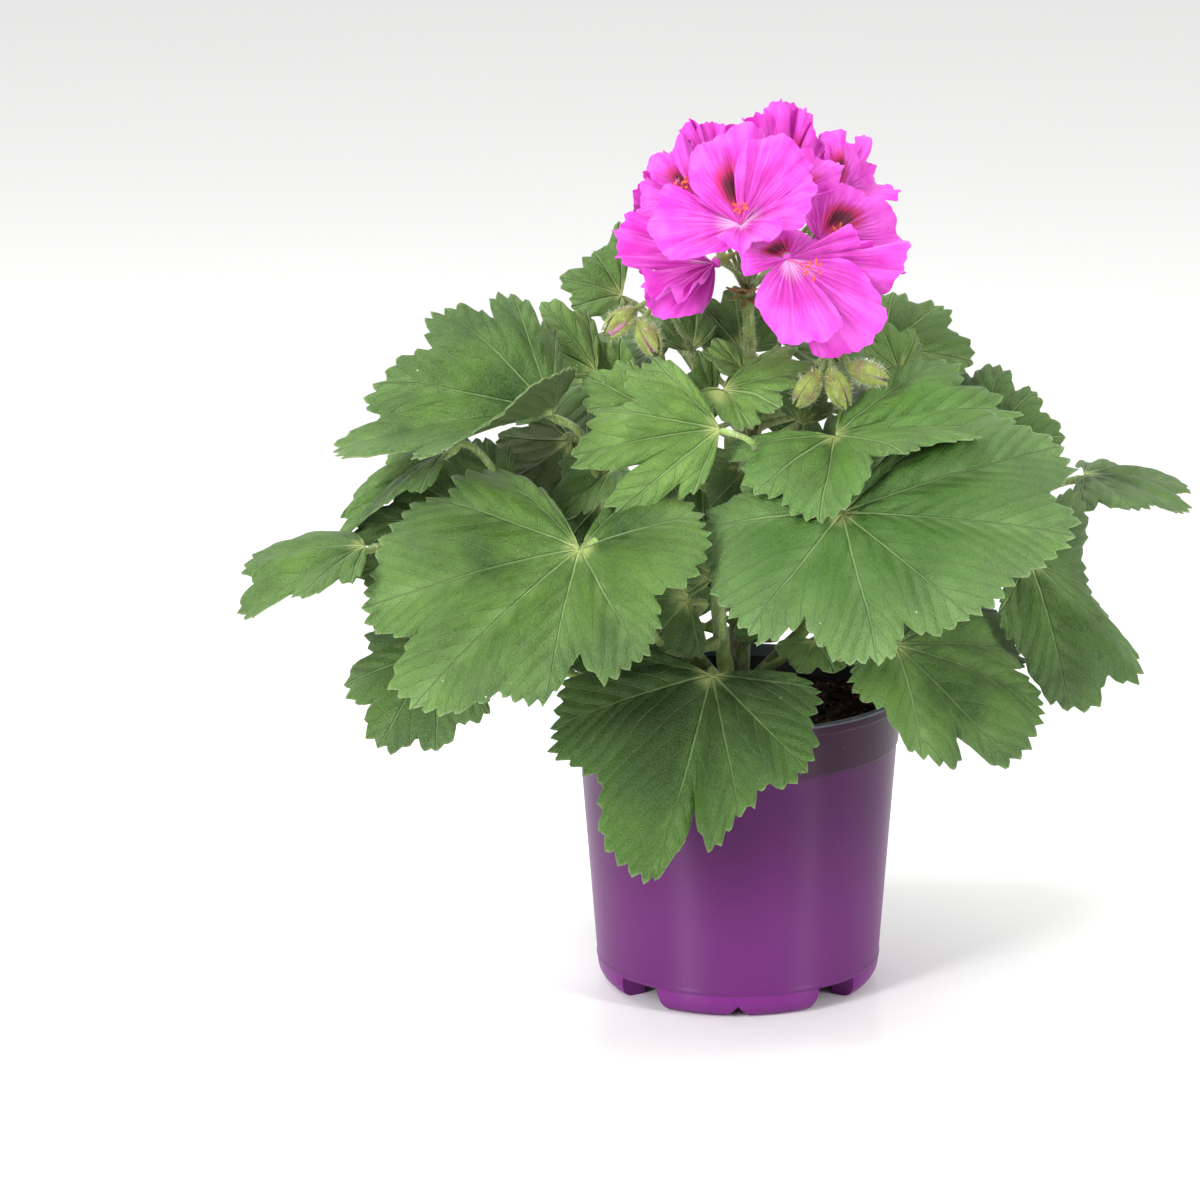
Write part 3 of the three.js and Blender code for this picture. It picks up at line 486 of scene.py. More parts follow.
# leaves: from the heart, where the leaf stalk ends, to the lobe tips, anticlockwise from above;
# notches between lobes are place and depth, slim is for thinner stalks
leaves = dict(
    front_left=dict(notches=[(1.85, 0.1), (3.45, 0.2), (4.6, 0.12), (5.3, 0.28), (6.4, 0.28)], stem="front",
        at=0.45, heart=(-53, -85, 179), tips=[(-66, -66, 195), (-82, -58, 202), (-108, -66, 194),
        (-126, -88, 161), (-109, -114, 133), (-65, -120, 135), (-32, -110, 147), (-11, -78, 190),
        (-31, -64, 198)]),
    front_right=dict(notches=[(0.5, 0.08), (2.4, 0.24), (3.4, 0.14), (4.5, 0.06), (5.45, 0.12)],
        tone="broad", stem="front", at=0.7, heart=(35, -80, 190), tips=[(4, -62, 198), (-13, -72, 184),
        (3, -100, 153), (46, -116, 149), (77, -110, 161), (112, -88, 186), (110, -62, 210),
        (76, -52, 220)]),
    upper_right=dict(notches=[(0.4, 0.14), (1.35, 0.14), (2.75, 0.3), (3.9, 0.2), (5.0, 0.1), (5.5, 0.14)],
        tone="flushed", stem="main", at=0.7, heart=(33, -58, 212), tips=[(-7, -60, 207), (5, -76, 197),
        (28, -86, 189), (56, -84, 213), (93, -60, 215), (95, -38, 221), (70, -28, 233), (43, -34, 227)]),
    centre=dict(notches=[(0.75, 0.26), (1.6, 0.1), (2.5, 0.38), (3.45, 0.32)], tone="young", slim=0.75,
        stem="main", at=0.8, heart=(-6, -66, 216), tips=[(-29, -50, 238), (-49, -58, 222), (-57, -66, 208),
        (-40, -78, 190), (-15, -76, 196)]),
    top_small=dict(notches=[(0.5, 0.3), (1.5, 0.26), (2.4, 0.3), (3.5, 0.2), (4.5, 0.2)], tone="young",
        slim=0.75, stem="main", at=0.88, heart=(-5, -48, 226), tips=[(-14, -52, 226), (5, -58, 214),
        (15, -56, 223), (27, -45, 232), (17, -30, 239), (1, -32, 231)]),
    pot_front=dict(notches=[(0.25, 0.2), (1.45, 0.22), (2.25, 0.32), (3.4, 0.07), (4.5, 0.1)],
        tone="shaded", stem="front", at=0.3, heart=(-9, -58, 128), tips=[(-55, -48, 135), (-65, -66, 112),
        (-28, -96, 65), (1, -92, 88), (24, -84, 101), (28, -62, 124)]),
    low_right=dict(notches=[(0.6, 0.22), (1.65, 0.28), (3.5, 0.15)], stem="right", at=0.15,
        heart=(54, -52, 137), tips=[(38, -62, 130), (64, -78, 105), (94, -66, 98), (108, -42, 115),
        (101, -22, 128), (88, -6, 141), (66, -22, 142)]),
    droop_right=dict(tone="old", stem="right", at=0.5, heart=(102, -18, 159), tips=[(91, -28, 142),
        (117, -36, 109), (143, -24, 120), (126, -4, 145), (122, 8, 178)]),
    far_right=dict(stem="right", at=0.65, heart=(126, 45, 176), tips=[(122, 12, 171), (140, 10, 171),
        (161, 30, 167), (167, 62, 167), (154, 92, 167), (132, 95, 169)]),
    behind_right=dict(stem="right", at=0.8, heart=(88, 22, 193), tips=[(112, 2, 184), (116, 12, 197),
        (107, 28, 211), (94, 42, 217), (77, 50, 213)]),
    back_upper_right=dict(stem="right", at=0.97, heart=(53, 45, 222), tips=[(60, 22, 213), (84, 30, 221),
        (74, 52, 237), (56, 62, 241), (41, 60, 235)]),
    bud_leaf=dict(stem="main", at=0.93, heart=(46, -5, 221), tips=[(51, -14, 220), (64, -8, 228),
        (63, 4, 235), (51, 10, 238)]),
    upper_left=dict(stem="left", at=0.72, heart=(-63, -50, 218), tips=[(-63, -24, 242), (-79, -22, 258),
        (-101, -32, 253), (-125, -42, 229), (-138, -62, 209), (-102, -88, 214), (-58, -86, 242)]),
    mid_left=dict(stem="left", at=0.62, heart=(-100, -45, 204), tips=[(-119, -28, 202), (-137, -40, 184),
        (-141, -48, 171), (-125, -64, 188), (-108, -66, 194)]),
    far_left=dict(stem="left", at=0.4, heart=(-126, -72, 177), tips=[(-140, -48, 177), (-169, -66, 171),
        (-167, -86, 156), (-146, -96, 166), (-129, -94, 170)]),
    shade_left=dict(tone="old", stem="left", at=0.5, heart=(-82, -48, 180), tips=[(-78, -38, 204),
        (-87, -36, 208), (-117, -44, 195), (-131, -52, 181), (-131, -66, 165), (-115, -66, 148)]),
    shade_centre=dict(stem="left", at=0.92, heart=(-58, -22, 203), tips=[(-61, -40, 183), (-78, -34, 191),
        (-84, -16, 203), (-68, -8, 207)]),
    below_centre=dict(stem="front", at=0.85, heart=(-43, -42, 197), tips=[(-60, -40, 202), (-60, -56, 183),
        (-49, -62, 189), (-37, -56, 197)]),
    low_left=dict(tone="old", stem="left", at=0.15, heart=(-103, -50, 135), tips=[(-126, -44, 142),
        (-136, -54, 124), (-124, -68, 105), (-103, -74, 106), (-85, -70, 118)]),
    bright_left=dict(tone="young", stem="left", at=0.97, heart=(-49, -20, 226), tips=[(-53, 2, 244),
        (-69, 0, 249), (-67, -12, 234), (-61, -24, 226)]),
    flower_left=dict(stem="main", at=0.8, heart=(-41, 15, 247), tips=[(-42, 28, 271), (-51, 24, 262),
        (-63, 14, 254), (-58, 4, 245), (-43, -2, 239)]),
    light_left=dict(tone="young", stem="main", at=0.75, heart=(-32, -32, 217), tips=[(-37, -22, 231),
        (-54, -22, 226), (-52, -34, 216)]),
    over_soil=dict(stem="right", at=0.05, heart=(27, -30, 133), tips=[(13, -38, 133), (21, -46, 126),
        (34, -46, 126), (43, -36, 130)]),
    inner_low=dict(tone="old", stem="left", at=0.3, heart=(-17, -40, 150), tips=[(-13, -30, 163),
        (-31, -38, 150), (-32, -50, 135), (-13, -52, 133)]))

# small leaves around the flower stalk's foot and inside the crown
innerLeaves = dict(
    stalk_back=dict(stem="main", at=0.96, tone="old", heart=(1, 8, 229), tips=[(14, 4, 232), (11, 12, 246),
        (-1, 14, 251), (-13, 8, 245), (-13, 2, 231)]),
    stalk_curled=dict(stem="main", at=0.97, tone="young", heart=(2, -36, 229), tips=[(0, -32, 239),
        (-8, -36, 242), (-12, -42, 238), (-5, -45, 231)]),
    stalk_left=dict(stem="main", at=0.94, tone="young", heart=(-9, -34, 220), tips=[(-6, -32, 229),
        (-9, -30, 237), (-14, -34, 237), (-17, -38, 229)]),
    crown_left=dict(stem="main", at=0.9, tone="old", heart=(-16, -6, 231), tips=[(-8, -2, 239),
        (-14, 2, 249), (-26, -4, 247), (-29, -12, 238)]),
    crown_right=dict(stem="main", at=0.9, tone="old", heart=(22, -24, 209), tips=[(33, -26, 214),
        (31, -18, 223), (20, -18, 226), (13, -26, 219)]),
    crown_front=dict(stem="main", at=0.65, tone="old", heart=(3, -30, 194), tips=[(-9, -34, 199),
        (-10, -42, 184), (5, -46, 178), (17, -42, 188), (14, -32, 202)]),
    crown_low=dict(stem="front", at=0.5, tone="old", heart=(-8, -46, 160), tips=[(-6, -42, 171),
        (-13, -40, 174), (-19, -44, 166), (-18, -50, 155)]),
    crown_wide=dict(stem="main", at=0.6, tone="old", heart=(-12, -8, 162), tips=[(2, -12, 171),
        (0, -6, 189), (-13, -4, 199), (-27, -8, 192), (-28, -12, 175)]),
    crown_side=dict(stem="right", at=0.5, tone="old", heart=(33, -8, 176), tips=[(51, -10, 185),
        (51, -4, 199), (37, 2, 208), (22, 0, 205), (18, -6, 188)]),
    crown_light=dict(stem="main", at=0.85, tone="young", heart=(-41, -10, 215), tips=[(-34, -12, 225),
        (-41, -6, 236), (-50, -8, 236), (-54, -14, 227)]),
    base_back=dict(stem="back", at=0.2, tone="old", heart=(1, 10, 146), tips=[(22, 8, 150), (16, 16, 170),
        (-7, 16, 170), (-22, 8, 156), (-18, 2, 138)]),
    base_right=dict(stem="main", at=0.4, tone="old", heart=(13, -14, 134), tips=[(30, -14, 142),
        (19, -10, 154), (-1, -12, 150), (0, -20, 130)]),
    base_left=dict(stem="main", at=0.45, tone="old", heart=(-18, -14, 136), tips=[(-7, -14, 144),
        (-13, -10, 154), (-31, -12, 149), (-32, -20, 132)]),
    crown_shade=dict(stem="left", at=0.7, tone="old", heart=(-47, -26, 182), tips=[(-62, -22, 196),
        (-69, -30, 182), (-62, -36, 168), (-46, -36, 160), (-34, -32, 173)]),
    bud_back=dict(stem="main", at=0.95, tone="young", heart=(56, -20, 226), tips=[(62, -12, 240),
        (49, -18, 243), (43, -28, 238)]))

# the leaves behind are alike: a heart, a compass direction, a slope in degrees and a length
backLeaves = dict(
    back_left_low=dict(stem="back", at=0.15, heart=(-62, 34, 140), turn=158, slope=-22, reach=54),
    back_left=dict(stem="back", at=0.5, heart=(-56, 60, 176), turn=135, slope=-14, reach=56),
    back_left_high=dict(stem="left", at=0.8, heart=(-52, 34, 212), turn=155, slope=-4, reach=46),
    back_middle_low=dict(stem="back", at=0.3, heart=(-14, 72, 142), turn=100, slope=-30, reach=52),
    back_middle=dict(stem="back", at=0.75, heart=(0, 68, 198), turn=88, slope=-14, reach=54),
    back_middle_high=dict(stem="main", at=0.86, heart=(14, 40, 226), turn=70, slope=0, reach=40),
    back_right=dict(stem="back", at=0.6, heart=(46, 66, 172), turn=55, slope=-16, reach=54),
    back_right_low=dict(stem="right", at=0.3, heart=(64, 38, 138), turn=30, slope=-26, reach=52),
    back_right_high=dict(stem="back", at=0.95, heart=(42, 62, 206), turn=60, slope=-6, reach=42),
    back_top=dict(stem="main", at=0.9, heart=(-22, 42, 226), turn=120, slope=4, reach=38))

# leaves of the two flanks, hidden from the front
flankLeaves = dict(
    flank_left_high=dict(stem="left", at=0.8, heart=(-58, 14, 196), turn=186, slope=-28, reach=42),
    flank_left=dict(stem="left", at=0.5, heart=(-66, -4, 169), turn=176, slope=-34, reach=44),
    flank_left_low=dict(stem="left", at=0.2, heart=(-58, 6, 139), turn=190, slope=-34, reach=40),
    flank_right_high=dict(stem="right", at=0.8, heart=(60, 22, 198), turn=-4, slope=-28, reach=44),
    flank_right=dict(stem="right", at=0.5, heart=(68, 8, 171), turn=2, slope=-34, reach=44),
    flank_right_low=dict(stem="right", at=0.2, heart=(56, 18, 140), turn=8, slope=-36, reach=40))


def backTips(leaf):
    tips = []
    for side in (-112, -56, 0, 56, 112):
        bend = abs(side / 56)
        ray = direction(leaf["turn"] + side, leaf["slope"] - 8 * bend)
        tips.append(Vector(leaf["heart"]) + ray * leaf["reach"] * (1 - 0.1 * bend))
    return tips


# how a blade is finished; tooth is the pitch of the margin's teeth, depths are shares of a lobe's length
bladeShape = dict(hem=0.5, arch=0.22, notch=0.17, notchWidth=0.29, inner=0.012, thickness=0.5, tooth=5.2,
                  toothDepth=3.3, toothProfile=(1.0, 0.5, 0.0, 0.62), lobule=1.6, row=3.1, pleat=0.05,
                  wave=0.022, droop=0.03, pucker=0.2, groove=1.6, wander=1.6)


def marginMarks(fan, shape, rng):
    # the columns of a blade: place along the margin and height of the tooth there
    marks = []
    last, hem, columns = fan["last"], shape["hem"], len(shape["toothProfile"])
    for gapNumber in range(-1, last + 1):
        inner = min(max(gapNumber, 0), last - 1)
        width = fan["spread"][inner] * fan["ray"](inner + 0.5)[1]
        low = max(gapNumber, -hem)
        high = min(gapNumber + 1, last + hem)
        teeth = max(2, round(width * (high - low) / shape["tooth"]))
        for tooth in range(teeth):
            # every third tooth stands out, as the tip of a small lobe
            size = rng.uniform(0.65, 1.15)
            out = (tooth + gapNumber) % 3 == 0
            grown = shape["lobule"] * rng.uniform(0.5, 1) if out else rng.uniform(-0.5, 0.3)
            for column, height in enumerate(shape["toothProfile"]):
                share = (tooth + column / columns + rng.uniform(-0.06, 0.06)) / teeth
                place = min(max(low + (high - low) * share, -hem), last + hem)
                marks.append((place, height * size * shape["toothDepth"], grown))
    marks.append((last + hem, shape["toothDepth"], 0.0))
    eased = []
    for i in range(len(marks)):
        near = [mark[2] for mark in marks[max(i - 2, 0):i + 3]]
        eased.append(sum(near) / len(near))
    return [(place, tooth + extra) for (place, tooth, grown), extra in zip(marks, eased)]


def veinPlace(fan, place, reached, share, wander, number):
    # signed distance from a main vein and distance along it, in millimetres
    inner = min(max(number if place > number else number - 1, 0), fan["last"] - 1)
    angle = (place - number) * fan["spread"][inner]
    sway = noise.noise(Vector((place * 1.1, share * 2.2, fan["last"] + number * 3.7)))
    drift = noise.noise(Vector((place * 2.3, share * 3, 9.1)))
    off = reached * math.sin(angle) + wander * sway * share
    return off, reached * math.cos(angle) + 1.5 * wander * drift


def growBlade(name, leaf, shape):
    rng = random.Random("blade" + name)
    fan = makeFan(leaf["heart"], leaf["tips"], shape["hem"])
    marks = marginMarks(fan, shape, rng)
    notches = leaf.get("notches") or [(gap + rng.uniform(0.42, 0.58), shape["notch"] * rng.uniform(0.7, 1.3))
                                      for gap in range(fan["last"])]
    longest = max(fan["ray"](place)[1] for place, _ in marks)
    rows = max(8, round(longest / shape["row"]))
    # rows stand closer towards the margin
    inner, width = shape["inner"], shape["notchWidth"]
    shares = [inner + (1 - inner) * (1 - (1 - row / rows) ** 1.2) for row in range(rows + 1)]
    columns = len(marks) - 1
    rays = []
    for place, tooth in marks:
        way, length = fan["ray"](place)
        notch = sum(depth * max(1 - abs(place - at) / width, 0) ** 1.3 for at, depth in notches)
        rays.append((way, length * (1 - notch)))
    seed = rng.uniform(0, 50)
    bm = bmesh.new()
    rim = bm.verts.layers.float.new("rim")
    layer = bm.loops.layers.uv.new("veinMap")
    cells = {}
    for vert in bmesh.ops.create_grid(bm, x_segments=columns, y_segments=rows, size=0.5)["verts"]:
        column, row = round((vert.co.x + 0.5) * columns), round((vert.co.y + 0.5) * rows)
        cells[vert] = (column, row)
        vert[rim] = row / rows
        (place, tooth), (way, length), share = marks[column], rays[column], shares[row]
        cut = (shape["toothDepth"] - tooth) * min(longest / 60, 1) * share ** 14
        point = fan["root"] + way * (length * share - cut)
        dip = -0.5 * math.cos(2 * math.pi * place)
        lift = shape["arch"] * share * (1 - share)
        lift += shape["pleat"] * dip * math.sin(math.pi * min(share * 0.8, 1)) * ease(share, 0, 0.3)
        lift += shape["wave"] * math.sin(place * 3.1 + seed) * share ** 2
        lift += 0.6 * shape["wave"] * noise.noise(Vector((place * 2.7, share * 2, seed))) * share ** 3
        lift -= shape["droop"] * share ** 5
        # tissue puffed between the side veins, a groove along the main ones
        off, down = veinPlace(fan, place, length * share, share, shape["wander"], round(place))
        phase = (down - leafLook["slant"] * abs(off)) / leafLook["spacing"] + (0.45 if off > 0 else 0)
        puff = -math.cos(2 * math.pi * phase) * ease(down, 8, 20) * ease(abs(off), 0.5, 3)
        groove = -shape["groove"] * math.exp(-(off / 1.4) ** 2) * (1 - share)
        vert.co = (point + fan["facing"] * (lift * length + shape["pucker"] * (puff + groove))) * mm
    for face in bm.faces:
        # all corners of a face are placed by the same main vein
        middle = sum(marks[cells[vert][0]][0] for vert in face.verts) / 4
        number = min(max(round(middle), 0), fan["last"])
        for loop in face.loops:
            column, row = cells[loop.vert]
            reached = rays[column][1] * shares[row]
            off, down = veinPlace(fan, marks[column][0], reached, shares[row], shape["wander"], number)
            loop[layer].uv = (0.5 + off / veinSpan, down / veinSpan)
    faceTowards(bm, bm.faces[:], fan["facing"])
    return fan, thickened(name, bm, shape["thickness"])


stalkShape = dict(radius=1.45, lean=0.35, steps=22, sides=10, into=0.9, hairs=1.6, hair=1.5)


def stalkRoute(leaf, fan, shape):
    # leaves its stem square to it and reaches the heart from below and behind
    route = stemRoutes[leaf["stem"]]
    place = leaf["at"] * stemSteps
    centre = throughList(route, place)
    ahead, behind = throughList(route, min(place + 0.5, stemSteps)), throughList(route, max(place - 0.5, 0))
    tangent = (ahead - behind).normalized()
    end = fan["root"]
    way = end - centre
    lean = way.normalized() * shape["lean"]
    way = (way - tangent * way.dot(tangent)).normalized()
    start = centre + way * stems[leaf["stem"]]["radius"] * shape["into"]
    out = (way + lean).normalized()
    length = (end - start).length
    middle = fan["ray"](fan["last"] / 2)[0]
    below = fan["facing"] * shape["radius"] * leaf.get("slim", 1)
    points = [start, start + out * 0.3 * length + upward * 0.06 * length,
              end - middle * 0.16 * length - upward * 0.1 * length,
              end - below * 1.2, end + middle * 2.6 - below * 1.1]
    return routeThrough(points, shape["steps"])


def growLeaf(name, leaf, nodes=(), shape=stalkShape):
    fan, bm = growBlade(name, leaf, bladeShape)
    route = stalkRoute(leaf, fan, shape)
    radii = []
    for i in range(shape["steps"] + 1):
        share = i / shape["steps"]
        foot = 0.75 * math.exp(-(share / 0.05) ** 2)
        knee = 0.25 * math.exp(-((share - 0.95) / 0.04) ** 2)
        swell = (1.08 - 0.2 * share + foot + knee) * (0.55 if share == 1 else 1)
        radii.append(shape["radius"] * leaf.get("slim", 1) * swell)
    skins = addTube(bm, route, radii, sides=shape["sides"], material=2)
    hairs = round((route[0] - route[-1]).length * shape["hairs"])
    addHairs(bm, skins, hairs, shape["hair"], 3, random.Random("hair" + name))
    skins = [leafUppers[leaf.get("tone", "grown")], leafUnder, stalkGreen, downyHair]
    newPiece(name + "_leaf", bm, skins, nodes, sharp=62)


for leafName, leafParts in leaves.items():
    growLeaf(leafName, leafParts, [leafName])
print("front leaves ready")
for leafName, leafParts in innerLeaves.items():
    growLeaf(leafName, dict(leafParts, slim=0.7))
print("inner leaves ready")
for leafName, leafParts in {**backLeaves, **flankLeaves}.items():
    # those of the flanks have no nodes of their own
    leafNodes = [leafName] if leafName in backLeaves else []
    growLeaf(leafName, dict(leafParts, tips=backTips(leafParts)), leafNodes)
print("back leaves ready")


# petals: an upper pair with a maroon blotch, three lower ones with a pale throat
petalLook = dict(rim="#ec60da", body="#d238be", deep="#aa168c", vein="#96085c", blotch="#300414",
                 halo="#b40a3a", throat="#f0c6ec", veins=12, patch=9, grain=0.45,
                 strengths=dict(upper=(0.9, 0.7), lower=(0.72, 0.55), side=(0.85, 0.65), back=(0.35, 0.3)))


def petalMaterial(name, look, kind):
    # fresh petal: soft satin cells that scatter light, veins and blotch are dyed tissue
    material, add, place = startMaterial(name, Roughness=0.5, Specular_IOR_Level=0.3, Sheen_Weight=0.15,
                                         Sheen_Roughness=0.4, Subsurface_Weight=0.25,
                                         Subsurface_Radius=(1.0, 0.35, 0.8), Subsurface_Scale=0.0015)
    uv = add("UVMap", uv_map="petalMap")
    across, along = add("SeparateXYZ", uv), add("SeparateXYZ", uv, out=1)
    patches = add("TexNoise", place, 1000 / look["patch"], 2.0)
    sway = add("Math", patches, 0.06, across, operation="MULTIPLY_ADD")
    # veins fork once on their way out
    masks = []
    for count, low, high in ((look["veins"], 0.05, 0.62), (2 * look["veins"], 0.4, 0.85)):
        gap = distanceFromHalf(add, add("Math", sway, count, operation="MULTIPLY"))
        line = add("MapRange", gap, 0.02, 0.12, 1.0, 0.0, **smooth)
        rise = add("MapRange", along, low, low + 0.1)
        fall = add("MapRange", along, 0.5 * (low + high), high, 1.0, 0.0)
        masks.append(add("Math", line, add("Math", rise, fall, operation="MULTIPLY"), operation="MULTIPLY"))
    # lighter and deeper streaks run outwards
    streaks = add("TexNoise", add("Mapping", uv, (22.0, 1.4, 1.0)), 1.0, 3.0)
    mixed = add("Math", streaks, 0.7, patches, operation="MULTIPLY_ADD")
    tones = add("Mix", add("MapRange", mixed, 0.66, 1.04), look["body"], look["rim"])
    # painted shade: the magenta deepens towards the throat, most along the darker streaks
    if kind != "back":
        inward = add("MapRange", along, 0.2, 0.9, 0.85, 0.0)
        deeper = add("MapRange", streaks, 0.35, 0.6, 1.0, 0.35)
        tones = add("Mix", add("Math", inward, deeper, operation="MULTIPLY"), tones, look["deep"])
    for mask, strength in zip(masks, look["strengths"][kind]):
        tones = add("Mix", add("Math", mask, strength, operation="MULTIPLY"), tones, look["vein"])
    if kind == "upper":
        # the blotch is feathered outwards along the veins
        feather = add("TexNoise", add("Mapping", uv, (30.0, 2.0, 1.0)), 1.0, 2.0)
        outward = add("Math", add("Math", along, 0.38, operation="SUBTRACT"), 3.6, operation="MULTIPLY")
        aside = add("Math", add("Math", across, 0.5, operation="SUBTRACT"), 4.4, operation="MULTIPLY")
        square = add("Math", outward, outward, operation="MULTIPLY")
        around = add("Math", aside, aside, square, operation="MULTIPLY_ADD")
        ragged = add("Math", feather, -1.5, around, operation="MULTIPLY_ADD")
        for low, high, strength, colour in ((-0.5, 1.0, 0.85, "halo"), (-0.75, -0.1, 0.92, "blotch")):
            mask = add("MapRange", ragged, low, high, strength, 0.0, **smooth)
            tones = add("Mix", mask, tones, look[colour])
    if kind == "lower":
        pale = add("MapRange", along, 0.08, 0.32, 0.62, 0.0, **smooth)
        veined = add("Math", masks[0], -0.8, pale, operation="MULTIPLY_ADD")
        tones = add("Mix", veined, tones, look["throat"])
    relief = add("TexNoise", place, 1000 / look["grain"], 2.0)
    for mask, depth in ((masks[0], -1.2), (masks[1], -0.9), (streaks, 2.2)):
        relief = add("Math", mask, depth, relief, operation="MULTIPLY_ADD")
    return finishMaterial(material, tones, relief, 0.75, 0.22)


petalKinds = ("upper", "lower", "side")
petalBack = petalMaterial("petalOutside", petalLook, "back")
petalSkins = []
for kindName in petalKinds:
    petalSkins += [petalMaterial("petal" + kindName.capitalize(), petalLook, kindName), petalBack]

# from the throat to the edge of each petal, anticlockwise from inside the flower; hidden petals and whole
# flowers behind are given by their direction only
florets = dict(
    front=dict(throat=(1, -44, 282), faces=(-90, 20), hidden=[], petals=[("side", [(25, -38, 300),
        (21, -34, 307), (12, -32, 311), (4, -34, 309), (-1, -38, 301)]), ("upper", [(10, -22, 310),
        (2, -24, 313), (-9, -30, 309), (-15, -36, 305), (-16, -40, 293)]), ("lower", [(-24, -36, 293),
        (-30, -40, 286), (-28, -46, 276), (-19, -52, 271), (-4, -52, 275)]), ("lower", [(-8, -56, 279),
        (1, -60, 277), (8, -60, 278), (15, -55, 285)]), ("lower", [(20, -50, 282), (25, -46, 289),
        (26, -42, 295), (22, -38, 300), (16, -36, 300)])]),
    right=dict(throat=(17, -48, 271), faces=(-70, 0), hidden=[], petals=[("lower", [(9, -52, 266),
        (6, -56, 257), (12, -62, 249), (21, -66, 245), (30, -66, 246), (36, -62, 253)]), ("lower",
        [(26, -56, 240), (32, -56, 237), (42, -54, 242), (49, -50, 250), (49, -46, 258), (37, -40, 269)]),
        ("side", [(50, -36, 258), (57, -32, 266), (52, -28, 271), (42, -28, 273)]), ("side",
        [(41, -38, 274), (40, -38, 279), (35, -38, 280), (30, -40, 276)]), ("upper", [(28, -40, 275),
        (21, -36, 279), (13, -36, 278), (3, -40, 275), (1, -46, 271), (2, -50, 266)])]),
    middle=dict(throat=(11, -26, 286), faces=(-80, 40), hidden=[], petals=[("lower", [(19, -16, 304),
        (12, -16, 307), (3, -20, 305), (0, -26, 301), (0, -30, 294)]), ("upper", [(32, -20, 290),
        (36, -16, 296), (30, -14, 301), (21, -14, 303)])]),
    side=dict(throat=(28, -22, 273), faces=(-50, 20), hidden=[("lower", 10, -30), ("lower", -20, -45)],
        petals=[("upper", [(56, -8, 268), (56, -8, 275), (52, -8, 282), (45, -8, 288), (35, -10, 291),
        (27, -14, 288), (22, -20, 281)])]),
    low=dict(throat=(-8, -28, 266), faces=(-120, -10), hidden=[("upper", 175, -10), ("side", 150, -35)],
        petals=[("lower", [(-34, -20, 282), (-41, -22, 279), (-42, -26, 272), (-40, -32, 266)]), ("side",
        [(-33, -38, 261), (-32, -40, 254), (-24, -40, 249), (-14, -38, 250), (-9, -34, 255)]), ("side",
        [(-34, -44, 264), (-28, -47, 258), (-20, -47, 257), (-13, -42, 261)])]),
    left=dict(throat=(-14, -18, 286), faces=(-140, 30), hidden=[("lower", 170, -10), ("lower", 140, 20)],
        petals=[("upper", [(-13, -6, 302), (-20, -6, 306), (-23, -6, 302), (-30, -8, 299), (-31, -12, 296),
        (-28, -18, 293)])]),
    back_left=dict(throat=(-8, -2, 291), faces=(150, 60), hidden=[("lower", 150, 20), ("lower", 110, 30)],
        petals=[("side", [(4, 4, 309), (-4, 4, 309), (-8, 4, 310), (-14, 4, 308)]), ("side",
        [(-14, -2, 308), (-16, 0, 312), (-19, -2, 309), (-17, -6, 303)])]),
    top=dict(throat=(16, 4, 286), faces=(80, 60), hidden=[("lower", 110, 45), ("lower", 70, 35)],
        petals=[("upper", [(30, 2, 301), (26, 4, 309), (25, 6, 313), (20, 8, 315), (15, 8, 317)]), ("upper",
        [(15, 4, 317), (8, 2, 314), (2, 0, 312), (2, -4, 308)])]),
    back_right=dict(throat=(35, -4, 286), faces=(20, 40), hidden=[("lower", 20, 0), ("lower", 60, 30)],
        petals=[("upper", [(41, 4, 287), (40, 6, 300), (36, 4, 307), (30, 2, 306), (29, 0, 300)]), ("side",
        [(42, 8, 287), (45, 12, 294), (44, 14, 304), (41, 12, 300)])]),
    far_left=dict(throat=(-18, 20, 276), faces=(135, 15), hidden="ring", petals=[]),
    far_middle=dict(throat=(6, 32, 274), faces=(95, 20), hidden="ring", petals=[]),
    far_right=dict(throat=(32, 22, 272), faces=(40, 10), hidden="ring", petals=[]),
    crown=dict(throat=(9, 15, 283), faces=(70, 68), hidden="ring", petals=[], inside=True))

petalShape = dict(hem=0.35, arch=0.12, thickness=0.3, columns=60, rows=20, reach=21, spread=34,
                  opening=62, ruffle=0.105, frill=0.045, crease=0.02, pleat=0.035, claw=1.9, corner=0.14)


def hiddenTips(floret, way, shape):
    side = way.cross(direction(*floret["faces"])).normalized()
    tips = []
    for share in (1, 1 / 3, -1 / 3, -1):
        angle = math.radians(share * shape["spread"])
        out = way * math.cos(angle) + side * math.sin(angle)
        tips.append(Vector(floret["throat"]) + out * shape["reach"])
    return tips


def floretPetals(floret, shape):
    if floret["hidden"] != "ring":
        return floret["petals"] + [(kind, hiddenTips(floret, direction(turn, rise), shape))
                                   for kind, turn, rise in floret["hidden"]]
    out = direction(*floret["faces"])
    top = (upward - out * out.z).normalized()
    side = top.cross(out).normalized()
    opening = math.radians(shape["opening"])
    petals = []
    for number in range(5):
        turn = 2 * math.pi * number / 5 + 0.3
        ray = (top * math.cos(turn) + side * math.sin(turn)) * math.sin(opening) + out * math.cos(opening)
        petals.append(("upper" if number in (0, 4) else "lower", hiddenTips(floret, ray, shape)))
    return petals


